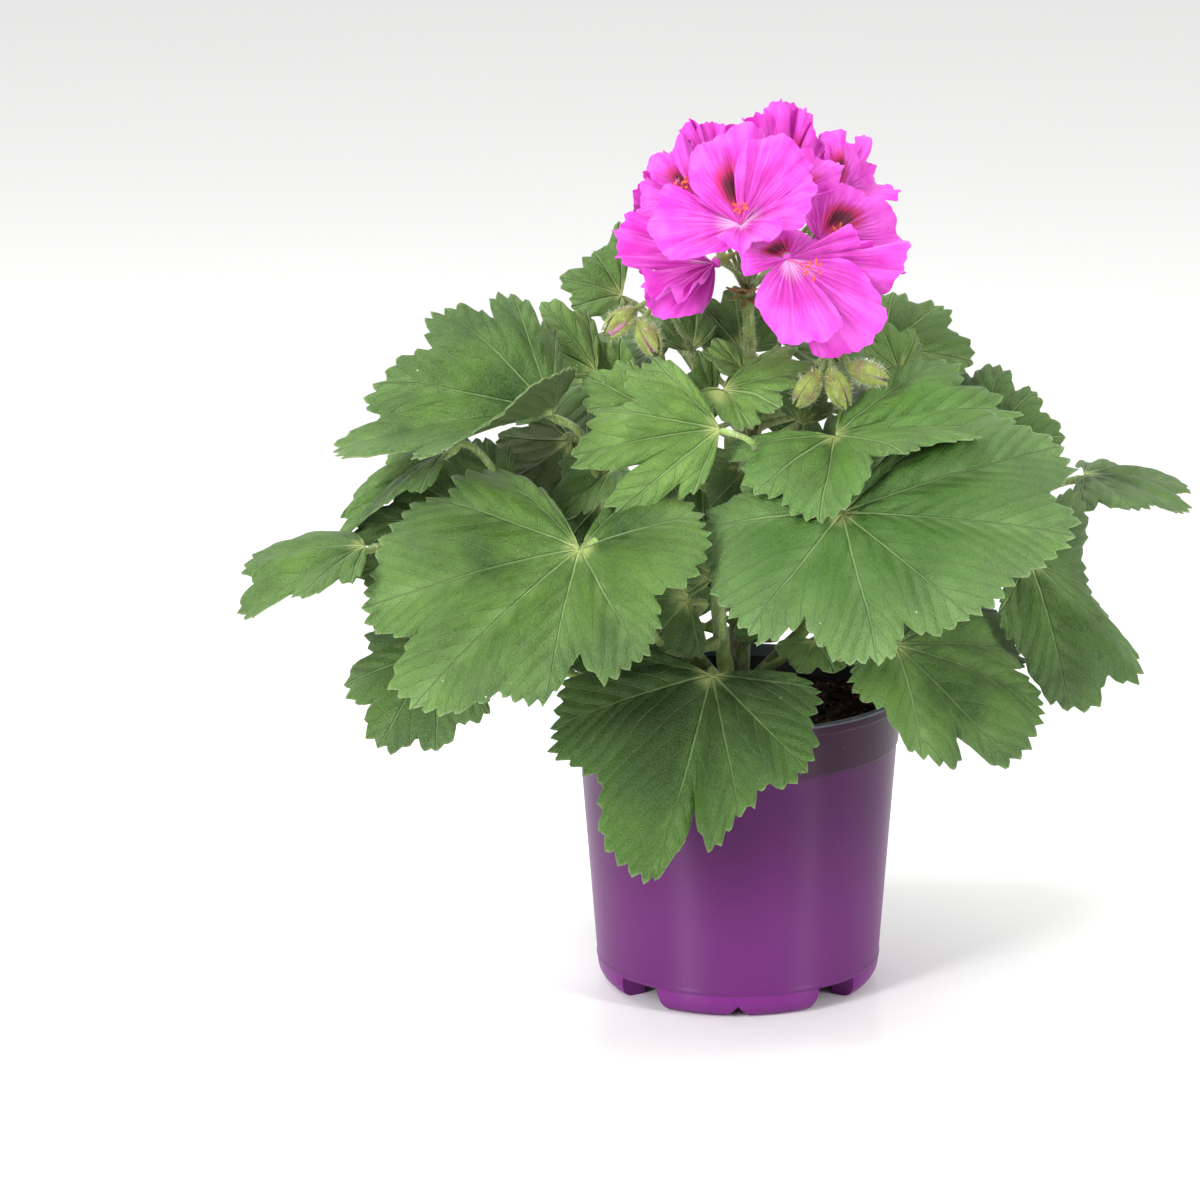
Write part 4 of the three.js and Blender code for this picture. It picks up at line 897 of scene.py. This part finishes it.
def growPetal(bm, kind, tips, throat, shape, rng):
    fan = makeFan(throat, tips, shape["hem"])
    columns, rows = shape["columns"], shape["rows"]
    whole = fan["last"] + 2 * shape["hem"]
    seed, waves = rng.uniform(0, 60), rng.uniform(4.5, 6.5)
    rays = []
    for column in range(columns + 1):
        across = column / columns
        way, length = fan["ray"](whole * across - shape["hem"])
        edge = 0.05 * noise.noise(Vector((8 * across, seed, 0)))
        edge += 0.045 * noise.noise(Vector((24 * across, seed, 5)))
        nearSide = min(column, columns - column) / columns
        length *= 1 - shape["corner"] * (1 - ease(nearSide, 0, 0.13)) ** 2
        rays.append((way, length, edge))
    cells = {}
    for vert in bmesh.ops.create_grid(bm, x_segments=columns, y_segments=rows, size=0.5)["verts"]:
        across, along = vert.co.x + 0.5, vert.co.y + 0.5
        cells[vert] = (across, along)
        way, length, edge = rays[round(across * columns)]
        share = 0.03 + 0.97 * along
        point = fan["root"] + way * (length * share * (1 + edge * share ** 6))
        lift = shape["arch"] * share * (1 - share)
        lift += shape["ruffle"] * math.sin(2 * math.pi * across * waves * 0.5 + seed) * share ** 3
        lift += shape["ruffle"] * noise.noise(Vector((across * 5, along * 1.5, seed))) * share ** 2
        lift += shape["frill"] * noise.noise(Vector((across * 13, along * 2, seed + 9))) * share ** 5 * 2
        lift += shape["crease"] * noise.noise(Vector((across * 22, along * 1.2, seed + 20))) * share
        lift += shape["pleat"] * math.cos(2 * math.pi * (across - 0.5) * 3.5) * share * (1 - share) * 2
        vert.co = (point + fan["facing"] * lift * length) * mm
    faces = facesOf(cells)
    layer = bm.loops.layers.uv["petalMap"]
    for face in faces:
        for loop in face.loops:
            loop[layer].uv = cells[loop.vert]
    paint(faces, 2 * petalKinds.index(kind))
    faceTowards(bm, faces, fan["facing"])


def growFloret(name, floret, shape):
    rng = random.Random("floret" + name)
    bm = bmesh.new()
    bm.loops.layers.uv.new("petalMap")
    for kind, tips in floretPetals(floret, shape):
        growPetal(bm, kind, tips, floret["throat"], shape, rng)
    bm = thickened(name, bm, shape["thickness"], slots=len(petalSkins))
    # the petals' claws meet in a short tube
    out, claw = direction(*floret["faces"]), shape["claw"]
    route = [Vector(floret["throat"]) - out * (2.6 - 0.43 * i) for i in range(7)]
    addTube(bm, route, [0.9, 1.5, claw * 0.9, claw, claw * 0.95, claw * 0.7, 0.3], sides=14, material=1)
    # the one inside the top of the head has no node of its own
    nodes = [] if floret.get("inside") else ["floret_" + name]
    newPiece("floret_%s_petals" % name, bm, petalSkins, nodes, sharp=70)


for floretName, floretParts in florets.items():
    growFloret(floretName, floretParts, petalShape)
print("flowers ready")


# narrow pointed sepals and bracts: a small sheet, widest below its middle
def addSepal(bm, root, way, face, length, width, material, curl=0.15, cup=0.5, thickness=0.35):
    side = way.cross(face).normalized()
    face = side.cross(way).normalized()
    grid = bmesh.ops.create_grid(bm, x_segments=8, y_segments=12, size=0.5)["verts"]
    for vert in grid:
        across, along = 2 * vert.co.x, vert.co.y + 0.5
        half = 0.625 * width * (0.5 + 0.9 * along) * max(1 - along, 0) ** 0.6
        lift = -curl * length * along ** 2 - cup * half * across ** 2
        vert.co = (root + way * length * along + side * half * across + face * lift) * mm
    faces = facesOf(grid)
    bmesh.ops.remove_doubles(bm, verts=grid, dist=1e-6)
    return solidified(bm, [item for item in faces if item.is_valid], thickness, material)


def solidified(bm, faces, thickness, material):
    made = bmesh.ops.solidify(bm, geom=faces, thickness=thickness * mm)["geom"]
    both = [item for item in made if isinstance(item, bmesh.types.BMFace)] + faces
    both = [item for item in dict.fromkeys(both) if item.is_valid]
    paint(both, material)
    bmesh.ops.recalc_face_normals(bm, faces=both)
    return both


sepalLook = dict(pale="#8d9d4c", olive="#6c7230", blush="#a0606a", paper="#a87f4e", paperDark="#7c6034")


def sepalMaterial(name, look, pale, dark, blush):
    # thin calyx skin: olive or papery with a reddish breath, furred
    material, add, place = startMaterial(name, Roughness=0.58, Specular_IOR_Level=0.35, Sheen_Weight=0.35,
                                         Sheen_Roughness=0.4, Subsurface_Weight=0.15,
                                         Subsurface_Radius=(0.6, 0.7, 0.2), Subsurface_Scale=0.001)
    broad = add("TexNoise", place, 260.0, 3.0)
    tones = add("Mix", add("MapRange", broad, 0.35, 0.65), look[pale], look[dark])
    tones = add("Mix", add("MapRange", broad, 0.56, 0.72, 0.0, 0.55), tones, look[blush])
    return finishMaterial(material, tones, add("TexNoise", place, 1400.0, 2.0), 0.7, 0.2)


sepalGreen = sepalMaterial("sepalSkin", sepalLook, "pale", "olive", "blush")
bractBrown = sepalMaterial("driedBract", sepalLook, "paper", "paperDark", "paper")

# flower stalk: it forks at the umbel into one short stalk for each flower;
# hairs are count and length on the stalk, on a short stalk and on a sepal
flowerStalk = dict(radius=2.2, points=[(4, -4, 207), (4, -2, 219), (4, -4, 236), (3, -6, 252)], umbel=3.2,
                   pedicel=0.85, clawBack=2.6, sepal=6.6, sepalWidth=3.0, sepals=5, bracts=7, bractWidth=4.2,
                   hairs=[(420, 1.7), (110, 1.4), (26, 1.1)])


def addPedicel(bm, floret, shape):
    # from the umbel to the calyx, drawn out behind the flower
    umbel, out = Vector(shape["points"][-1]), direction(*floret["faces"])
    end = Vector(floret["throat"]) - out * (shape["clawBack"] + 0.3)
    route = routeThrough([umbel, umbel.lerp(end, 0.5) - out * 3, end], 16)
    radii = [shape["pedicel"] * (1.15 - 0.25 * math.sin(math.pi * i / 16)) for i in range(17)]
    return addTube(bm, route, radii, sides=9)


def growFlowerStalk(shape):
    rng = random.Random("flowerStalk")
    bm = bmesh.new()
    top = Vector(shape["points"][-1])
    radii = [shape["radius"] * (1.12 - 0.2 * i / 24) for i in range(25)]
    onStalk, onPedicel, onSepal = shape["hairs"]
    downy = [(addTube(bm, routeThrough(shape["points"], 24), radii, sides=14), onStalk)]
    knob = bmesh.ops.create_uvsphere(bm, u_segments=14, v_segments=8, radius=shape["umbel"] * mm,
                                     matrix=Matrix.Translation(top * mm))["verts"]
    for vert in knob:
        vert.co.z = (top.z + (vert.co.z / mm - top.z) * 0.7) * mm
    for floret in florets.values():
        downy.append((addPedicel(bm, floret, shape), onPedicel))
        out = direction(*floret["faces"])
        root = Vector(floret["throat"]) - out * (shape["clawBack"] + 0.2)
        lean = out.orthogonal().normalized()
        addTube(bm, [root + out * step for step in (-1.2, 0, 1.1, 1.9)], [0.9, 1.6, 2.1, 1.9], sides=10)
        for number in range(shape["sepals"]):
            side = Matrix.Rotation(2 * math.pi * (number + 0.2) / shape["sepals"], 3, out) @ lean
            way = (side * 0.42 - out * 0.9).normalized()
            length = shape["sepal"] * rng.uniform(0.85, 1.05)
            skins = addSepal(bm, root + side * 1.2, way, out, length, shape["sepalWidth"], 2, curl=-0.05)
            downy.append((skins, onSepal))
    for number in range(shape["bracts"]):
        turn = 360 * (number + rng.uniform(-0.2, 0.2)) / shape["bracts"]
        way = (direction(turn, 0) + upward * rng.uniform(-0.25, 0.25)).normalized()
        addSepal(bm, top + way * 1.5 - upward * 1.2, way, upward, rng.uniform(5.5, 7.5), shape["bractWidth"],
                 3 if number % 3 == 0 else 2, curl=0.12)
    for skins, (count, length) in downy:
        addHairs(bm, skins, count, length, 1, rng)
    skins = [stalkGreen, downyHair, sepalGreen, bractBrown]
    newPiece("flower_stalk_grown", bm, skins, ["flower_stalk"])


growFlowerStalk(flowerStalk)

# the dry bract hanging under the flower head
bractParts = dict(heart=(2, -10, 253), width=5.0, tips=[(-4, -17, 256), (1, -19, 257), (6, -17, 257)])


def growBract(parts):
    root = Vector(parts["heart"])
    bm = bmesh.new()
    for number, tip in enumerate(parts["tips"]):
        ray = Vector(tip) - root
        face = Vector((0.1 * (number - 1), -0.5, 0.9))
        addSepal(bm, root, ray.normalized(), face, ray.length, parts["width"], 0, curl=0.1 * number)
    newPiece("bract_dried", bm, [bractBrown], ["bract"])


growBract(bractParts)

# stamens: slim magenta filaments with orange anthers, the style among them; tip is where the style ends
stamenTips = dict(front=(1, -51, 290), right=(27, -60, 269), middle=(9, -33, 293), side=(35, -30, 277),
                  left=(-20, -23, 293), far_left=(-25, 28, 280), far_middle=(5, 43, 279),
                  far_right=(41, 29, 275))
stamenShape = dict(filament=0.2, anther=(0.42, 0.42, 1.2), count=7, fan=0.26, style=0.32,
                   nodes=("front", "right"))
# moist tissue, slightly mottled
moist = dict(low=0.35, high=0.65, relief=(0.6, 0.15), Subsurface_Weight=0.15,
             Subsurface_Radius=(1.0, 0.4, 0.4), Subsurface_Scale=0.0008)
filamentSkin = mottledMaterial("filament", "#c2307e", "#e070ac", 900.0, 3.0, Roughness=0.45, **moist)
# dry and grainy with pollen
antherSkin = mottledMaterial("pollenAnther", "#d23c22", "#ee7a36", 1800.0, 3.0, Roughness=0.75, **moist)


def growStamens(name, tip, shape):
    rng = random.Random("stamens" + name)
    throat = Vector(florets[name]["throat"])
    way = Vector(tip) - throat
    length = way.length
    way.normalize()
    side = way.orthogonal().normalized()
    bm = bmesh.new()
    for number in range(shape["count"] + 1):
        turn = Matrix.Rotation(2 * math.pi * number / shape["count"] + rng.uniform(-0.3, 0.3), 3, way)
        style = number == shape["count"]
        spread = 0 if style else shape["fan"] * rng.uniform(0.5, 1.0)
        out = turn @ side
        long = length * (1.05 if style else rng.uniform(0.78, 1.0))
        route = routeThrough([throat + way * 0.5, throat + way * 0.5 * long + out * 0.18 * spread * long,
                              throat + way * long + out * spread * long], 8)
        radius = shape["style"] if style else shape["filament"]
        addTube(bm, route, [radius * (1.2 - 0.5 * i / 8) for i in range(9)], sides=6)
        end = route[-1]
        if style:
            for lobe in range(5):
                curl = Matrix.Rotation(2 * math.pi * lobe / 5, 3, way) @ side
                addTube(bm, [end, end + way * 0.7 + curl * 0.5, end + way * 0.9 + curl * 1.3],
                        [0.22, 0.2, 0.12], sides=5)
        else:
            tilt = turnTo((out + way * rng.uniform(-0.4, 0.4)).normalized()).to_4x4()
            matrix = Matrix.Translation(end * mm) @ tilt @ Matrix.Diagonal((*shape["anther"], 1))
            grain = bmesh.ops.create_uvsphere(bm, u_segments=8, v_segments=6, radius=mm, matrix=matrix)
            paint(facesOf(grain["verts"]), 1)
    newPiece("stamens_%s_grown" % name, bm, [filamentSkin, antherSkin],
             ["stamens_" + name] if name in shape["nodes"] else [])


for stamenName, stamenTip in stamenTips.items():
    growStamens(stamenName, stamenTip, stamenShape)
print("stalk and stamens ready")

# flower buds: five olive sepals closed over the pink petals
budClusters = dict(
    buds_left=dict(at=0.97, stalk=[(-14, -20, 232), (-24, -26, 250)],
                   buds=[dict(at=(-40, -36, 247), tip=(-45, -40, 243), open=0.9),
                         dict(at=(-31, -38, 242), tip=(-28, -42, 237), open=0.5)]),
    buds_right=dict(at=0.95, stalk=[(22, -26, 228), (33, -38, 236)],
                    buds=[dict(at=(34, -50, 227), tip=(37, -52, 221), open=0.3),
                          dict(at=(44, -50, 232), tip=(50, -51, 230), open=0.35),
                          dict(at=(24, -50, 227), tip=(21, -51, 223), open=0.1)]))
budShape = dict(radius=4.1, length=14.5, pedicel=0.85, fork=1.5, halfAngle=35.4, gapAngle=17, thickness=0.35,
                hairs=380, hair=2.3, stalkHairs=420, stalkHair=1.5)
# petals still folded in the bud, pale where they will open
budPink = mottledMaterial("budPetal", "#c9459a", "#f0bcd8", 500.0, 3.0, Roughness=0.5, **moist)


def addBud(bm, bud, shape, rng):
    at = Vector(bud["at"])
    turn = turnTo((Vector(bud["tip"]) - at).normalized())
    body = bmesh.ops.create_uvsphere(bm, u_segments=18, v_segments=14, radius=1)["verts"]
    for vert in body:
        local = vert.co * shape["radius"] * 0.9
        local.z *= 1.45 + 0.2 * bud["open"]
        vert.co = (at + turn @ local) * mm
    paint(facesOf(body), 2)
    skins = []
    for number in range(5):
        middle = math.radians(72 * number + rng.uniform(-4, 4))
        flare = bud["open"] * rng.uniform(0.3, 1.0)
        grid = bmesh.ops.create_grid(bm, x_segments=8, y_segments=14, size=0.5)["verts"]
        for vert in grid:
            across, along = 2 * vert.co.x, vert.co.y + 0.5
            # the sepal narrows to its tip, and more so where the bud opens
            half = math.radians(shape["halfAngle"] - shape["gapAngle"] * bud["open"] * ease(along, 0.3, 1))
            half *= 1 if along < 0.8 else 1 - 0.7 * ((along - 0.8) / 0.2) ** 1.5
            belly = math.sin(math.pi * (0.07 + 0.86 * along)) ** 0.72
            radius = shape["radius"] * (1.02 + 0.05 * math.cos(across * 3)) * belly
            radius += flare * 1.1 * along ** 5
            angle, height = middle + across * half, (along - 0.47) * shape["length"]
            local = Vector((radius * math.cos(angle), radius * math.sin(angle), height))
            vert.co = (at + turn @ local) * mm
        skins += solidified(bm, facesOf(grid), -shape["thickness"], 1)
    return skins


def growBuds(name, cluster, shape):
    rng = random.Random(name)
    bm = bmesh.new()
    centre = throughList(stemRoutes["main"], cluster["at"] * stemSteps)
    route = routeThrough([centre, *cluster["stalk"]], 20)
    skins = addTube(bm, route, [1.1 - 0.2 * i / 20 for i in range(21)], sides=10)
    fork = Vector(cluster["stalk"][-1])
    bmesh.ops.create_uvsphere(bm, u_segments=10, v_segments=8, radius=shape["fork"] * mm,
                              matrix=Matrix.Translation(fork * mm))
    for number in range(5):
        way = direction(72 * number, -10)
        addSepal(bm, fork + way * 0.8, way, upward, 4.5, 2.6, 1, curl=0.1)
    downy = []
    for bud in cluster["buds"]:
        nod = (Vector(bud["tip"]) - Vector(bud["at"])).normalized()
        neck = Vector(bud["at"]) - nod * shape["length"] * 0.44
        route = routeThrough([fork, fork.lerp(neck, 0.5) + upward * 3, neck], 12)
        radii = [shape["pedicel"] * (1 + 0.3 * (i / 12) ** 4) for i in range(13)]
        skins += addTube(bm, route, radii, sides=9)
        downy.append(addBud(bm, bud, shape, rng))
    addHairs(bm, skins, shape["stalkHairs"], shape["stalkHair"], 3, rng)
    for faces in downy:
        addHairs(bm, faces, shape["hairs"], shape["hair"], 3, rng)
    newPiece(name + "_grown", bm, [stalkGreen, sepalGreen, budPink, downyHair], [name])


for clusterName, clusterParts in budClusters.items():
    growBuds(clusterName, clusterParts, budShape)
print("buds ready")

# pot: thin moulded plastic on four feet, with a band step, a lip and drain holes
potShape = dict(rimRadius=60, rimHeight=108.6, seamRadius=51, seamHeight=8.8, footRadius=46, wall=1.1,
                lipDepth=4.5, lipStep=1, lipBead=1.1, bandDrop=19.5, bandStep=0.5, footSpread=70,
                footDepth=6, footSteps=70, notchWidth=8, notchHeight=4.5, steps=180, fillet=0.28,
                drainRadius=3.5, drainRing=34, drainCount=8)
# upper and band are painted shade, foot is painted light
potLook = dict(purple="#632567", upper="#4a164d", band="#32142f", foot="#75277a", flow="#6f2974",
               dust="#c9b6c9", lip="#59626c", lipDark="#4c525c", inside="#211d1b", insideDust="#2b2a26",
               roughness=0.42, orangePeel=0.55, dustPerMetre=95.0)


def potMaterial(name, look, shape):
    # moulded polypropylene: satin skin, faint flow marks and dust; painted shade darkens the upper wall and
    # the band, where the leaves hang over them, and painted light brightens the feet
    material, add, place = startMaterial(name, Specular_IOR_Level=0.25, Anisotropic=0.85,
                                         Anisotropic_Rotation=0.25, Subsurface_Weight=0.05,
                                         Subsurface_Radius=(1.0, 0.3, 1.0), Subsurface_Scale=0.002)
    height = add("Math", add("SeparateXYZ", place, out=2), 1000.0, operation="MULTIPLY")
    band, seam = shape["rimHeight"] - shape["bandDrop"], shape["seamHeight"]
    marks = add("TexNoise", add("Mapping", place, (1.0, 1.0, 0.5)), 60.0, 3.0)
    tones = add("Mix", add("MapRange", marks, 0.35, 0.65, 0.0, 0.2), look["purple"], look["flow"])
    # painted shade: the wall darkens upwards under the leaves, the band above the step darker still
    upperShade = add("MapRange", height, 22.0, band - 8, **smooth)
    bandShade = add("MapRange", height, band - 1, band + 1)
    # painted light: the feet are lighter, as if lit from below
    footGlow = add("MapRange", height, seam - 0.6, seam + 0.2, 1.0, 0.0)
    specks = add("MapRange", add("TexVoronoi", place, look["dustPerMetre"]), 0.02, 0.035, 0.2, 0.0)
    for mask, colour in ((upperShade, "upper"), (bandShade, "band"), (footGlow, "foot"), (specks, "dust")):
        tones = add("Mix", mask, tones, look[colour])
    rough = add("MapRange", marks, 0.3, 0.7, look["roughness"] - 0.01, look["roughness"] + 0.02)
    # turning marks of the mould draw the highlights out along the pot's height
    turning = add("Tangent", direction_type="RADIAL", axis="Z")
    return finishMaterial(material, tones, add("TexNoise", place, 1000 / look["orangePeel"]), 0.25, 0.04,
                          Roughness=rough, Tangent=turning)


def spinProfile(bm, profile, steps, fillet):
    # radius and height pairs, filleted, turned round the pot's axis
    verts = [bm.verts.new((r * mm, 0, z * mm)) for r, z in profile]
    for pair in zip(verts, verts[1:]):
        bm.edges.new(pair)
    bmesh.ops.bevel(bm, geom=verts[1:-1], offset=fillet * mm, offset_type="OFFSET", segments=3,
                    profile=0.5, affect="VERTICES", material=-1)
    bmesh.ops.spin(bm, geom=bm.verts[:] + bm.edges[:], cent=(0, 0, 0), axis=upward, angle=2 * math.pi,
                   steps=steps, use_merge=True, use_duplicate=False)


def cutDrains(bm, shape):
    # round drain holes through the floor of the pot
    drills = bmesh.new()
    radius = shape["drainRadius"] * mm
    for number in range(shape["drainCount"]):
        at = direction(360 / shape["drainCount"] * (number + 0.5), 0) * shape["drainRing"]
        at.z = shape["seamHeight"] + shape["wall"] / 2
        bmesh.ops.create_cone(drills, cap_ends=True, segments=32, radius1=radius, radius2=radius,
                              depth=4 * shape["wall"] * mm, matrix=Matrix.Translation(at * mm))
    shell, tool = newObject("shell", bm), newObject("drills", drills)
    cut = shell.modifiers.new("drains", "BOOLEAN")
    cut.object = tool
    cut.solver = "EXACT"
    drilled = bmesh.new()
    drilled.from_object(shell, bpy.context.evaluated_depsgraph_get())
    bpy.data.objects.remove(shell)
    bpy.data.objects.remove(tool)
    return drilled


def potRadius(z, shape):
    # outer radius of the tapered wall
    share = (z - shape["seamHeight"]) / (shape["rimHeight"] - shape["seamHeight"])
    return shape["seamRadius"] + share * (shape["rimRadius"] - shape["lipStep"] - shape["seamRadius"])


def makePot(shape, look):
    rim, top, seam, low, wall, step = (shape[key] for key in ("rimRadius", "rimHeight", "seamRadius",
                                                              "seamHeight", "wall", "lipStep"))
    band, lip = top - shape["bandDrop"], top - shape["lipDepth"]
    atBand, atLip = potRadius(band, shape), potRadius(lip, shape)
    profile = [(0, low), (seam - 5, low), (seam, low), (seam + 0.28, low + 1.2),
               (potRadius(low + 2, shape) - 0.1, low + 2.2), (atBand - shape["bandStep"], band),
               (atBand, band + shape["bandStep"]), (atLip, lip), (rim, lip + step),
               (rim, top - shape["lipBead"]), (rim, top), (rim - step - wall, top), (atLip - wall, lip),
               (seam - wall, low + wall), (0, low + wall)]
    bm = bmesh.new()
    spinProfile(bm, profile, shape["steps"], shape["fillet"])
    bmesh.ops.remove_doubles(bm, verts=bm.verts, dist=2e-6)
    bmesh.ops.recalc_face_normals(bm, faces=bm.faces)
    for face in bm.faces:
        # the lip's bead is grey, the inside nearly black
        centre = face.calc_center_median() / mm
        radius = math.hypot(centre.x, centre.y)
        if centre.z > top - 1.0 or (radius < potRadius(centre.z, shape) - 0.5 and centre.z > low + wall / 2):
            face.material_index = 1 if centre.z > top - 3 else 2
    bm = cutDrains(bm, shape)
    for quarter in range(4):
        addFoot(bm, 90 * quarter, shape)
    dusty = dict(scale=300.0, detail=4.0, low=0.4, high=0.7, relief=(0.3, 0.08), Specular_IOR_Level=0.45)
    # the lip is grey, the inner skin is dusty from the soil
    greyLip = mottledMaterial("potLip", look["lip"], look["lipDark"], Roughness=0.4, **dusty)
    inside = mottledMaterial("potInside", look["inside"], look["insideDust"], Roughness=0.6, **dusty)
    skins = [potMaterial("satinPolypropylene", look, shape), greyLip, inside]
    newPiece("pot_moulded", bm, skins, ["pot"], sharp=40)


def addFoot(bm, middle, shape):
    # a bulging foot: a closed section swept through its spread, notched in the middle
    low, spread, wide = shape["seamHeight"], shape["footSpread"], shape["footRadius"]
    inner = wide - shape["footDepth"]
    section = [(inner, 0), (wide - 1.2, 0), (wide, 0.25), (wide + 1.6, 1.1), (wide + 3.2, 2.8),
               (wide + 4.3, 4.8), (wide + 4.8, 6.8), (wide + 4.9, low + 0.2), (inner, low + 0.2)]
    fresh = bmesh.new()
    verts = [fresh.verts.new((r * mm, 0, z * mm)) for r, z in section]
    edges = [fresh.edges.new(pair) for pair in zip(verts, verts[1:] + verts[:1])]
    bmesh.ops.rotate(fresh, verts=verts, cent=(0, 0, 0),
                     matrix=Matrix.Rotation(math.radians(middle - spread / 2), 3, "Z"))
    bmesh.ops.spin(fresh, geom=verts + edges, cent=(0, 0, 0), axis=upward, angle=math.radians(spread),
                   steps=shape["footSteps"], use_duplicate=False)
    bmesh.ops.holes_fill(fresh, edges=[edge for edge in fresh.edges if edge.is_boundary], sides=0)
    for vert in fresh.verts:
        x, y, z = vert.co / mm
        angle = (math.degrees(math.atan2(y, x)) - middle + 180) % 360 - 180
        radius = math.hypot(x, y)
        # ends draw in towards the floor, the outer skin rounds off there too
        shrink = 1 - 0.075 * max(1 - z / low, 0) ** 1.5
        nearEnd = max(abs(angle) / (spread / 2) - 0.9, 0)
        radius -= 0.8 * nearEnd * min(z / low, 1) * (radius - inner)
        notch = shape["notchHeight"] * (1 - abs(math.radians(angle)) * wide / (shape["notchWidth"] / 2))
        turned = math.radians(middle + angle * shrink)
        vert.co = Vector((radius * math.cos(turned), radius * math.sin(turned), max(z, notch, 0))) * mm
    bmesh.ops.recalc_face_normals(fresh, faces=fresh.faces)
    joinInto(bm, fresh)


makePot(potShape, potLook)
print("pot ready")

# soil: dark peat; grains are their number, smallest and largest radius and flatness
soilShape = dict(drop=9.2, mound=2.5, cells=110, rough=2.0, gap=0.3, batch=50,
                 grains=[(850, 0.7, 2.3, 0.75), (120, 1.0, 2.8, 0.35), (26, 0.5, 1.1, 0.8)])
soilLook = dict(peat="#33251c", damp="#1a120d", crumb="#4c3728", bark="#6e5039", pale="#b9aea0",
                dull="#8a8074")


def soilMaterial(name, pale, dark, grain, look=soilLook):
    # moist potting peat and what lies on it: matt, nearly black in its hollows
    return mottledMaterial(name, look[dark], look[pale], 1000 / grain, 6.0, 0.38, 0.66, relief=(0.9, 0.7),
                           grit=0.7, Roughness=0.92, Specular_IOR_Level=0.25)


def soilHeight(x, y, edge, shape):
    share = min(math.hypot(x, y) / edge, 1)
    bumps = noise.fractal(Vector((x, y, 3)) / 7, 0.8, 2.2, 5) * shape["rough"] * 0.75
    return potShape["rimHeight"] - shape["drop"] - 1.2 + shape["mound"] * (1 - share ** 2) + bumps


def addGrain(bm, radius, flat, edge, shape, rng):
    away = (edge - radius) * math.sqrt(rng.random())
    turn = rng.uniform(0, 2 * math.pi)
    x, y = away * math.cos(turn), away * math.sin(turn)
    z = soilHeight(x, y, edge, shape) + radius * rng.uniform(-0.2, 0.35)
    axis = Vector([rng.uniform(-1, 1) for _ in range(3)]).normalized()
    size = Vector((rng.uniform(0.7, 1.3), rng.uniform(0.6, 1.1), flat)) * radius * mm
    matrix = Matrix.Translation(Vector((x, y, z)) * mm) @ Matrix.Rotation(rng.uniform(0, 6.28), 4, axis)
    matrix = matrix @ Matrix.Diagonal((*size, 1))
    made = bmesh.ops.create_icosphere(bm, subdivisions=1, radius=1, matrix=matrix)
    for vert in made["verts"]:
        vert.co += Vector([rng.uniform(-0.12, 0.12) for _ in range(3)]) * radius * mm


def makeSoil(shape):
    rng = random.Random("soil")
    edge = potRadius(potShape["rimHeight"] - shape["drop"], potShape) - potShape["wall"] - shape["gap"]
    bm = bmesh.new()
    cells = shape["cells"]
    for vert in bmesh.ops.create_grid(bm, x_segments=cells, y_segments=cells, size=1)["verts"]:
        # the square grid is drawn in to a disc
        x, y = vert.co.x, vert.co.y
        x, y = x * math.sqrt(1 - y * y / 2) * edge, y * math.sqrt(1 - x * x / 2) * edge
        vert.co = Vector((x, y, soilHeight(x, y, edge, shape))) * mm
    # the sides follow the wall down to the pot's floor
    rims = [item for item in bm.edges if item.is_boundary]
    sides = bmesh.ops.extrude_edge_only(bm, edges=rims)["geom"]
    low = potShape["seamHeight"] + potShape["wall"] + shape["gap"]
    narrow = (potShape["seamRadius"] - potShape["wall"] - 0.5) / edge
    for vert in (item for item in sides if isinstance(item, bmesh.types.BMVert)):
        vert.co = Vector((vert.co.x * narrow, vert.co.y * narrow, low * mm))
    bmesh.ops.holes_fill(bm, edges=[item for item in bm.edges if item.is_boundary], sides=0)
    bmesh.ops.recalc_face_normals(bm, faces=bm.faces)
    for number, (count, small, large, flat) in enumerate(shape["grains"]):
        for first in range(0, count, shape["batch"]):
            fresh = bmesh.new()
            for _ in range(min(shape["batch"], count - first)):
                radius = rng.uniform(small, large) * rng.uniform(0.6, 1)
                addGrain(fresh, radius, flat, edge, shape, rng)
            paint(fresh.faces, number + 1)
            joinInto(bm, fresh)
    kinds = [("moistPeat", "peat", "damp", 2.2), ("peatCrumb", "crumb", "damp", 1.2),
             ("barkFibre", "bark", "crumb", 0.9), ("perliteGrain", "pale", "dull", 0.8)]
    newPiece("soil_peat", bm, [soilMaterial(*kind) for kind in kinds], ["soil"], sharp=50)


makeSoil(soilShape)
print("soil ready")
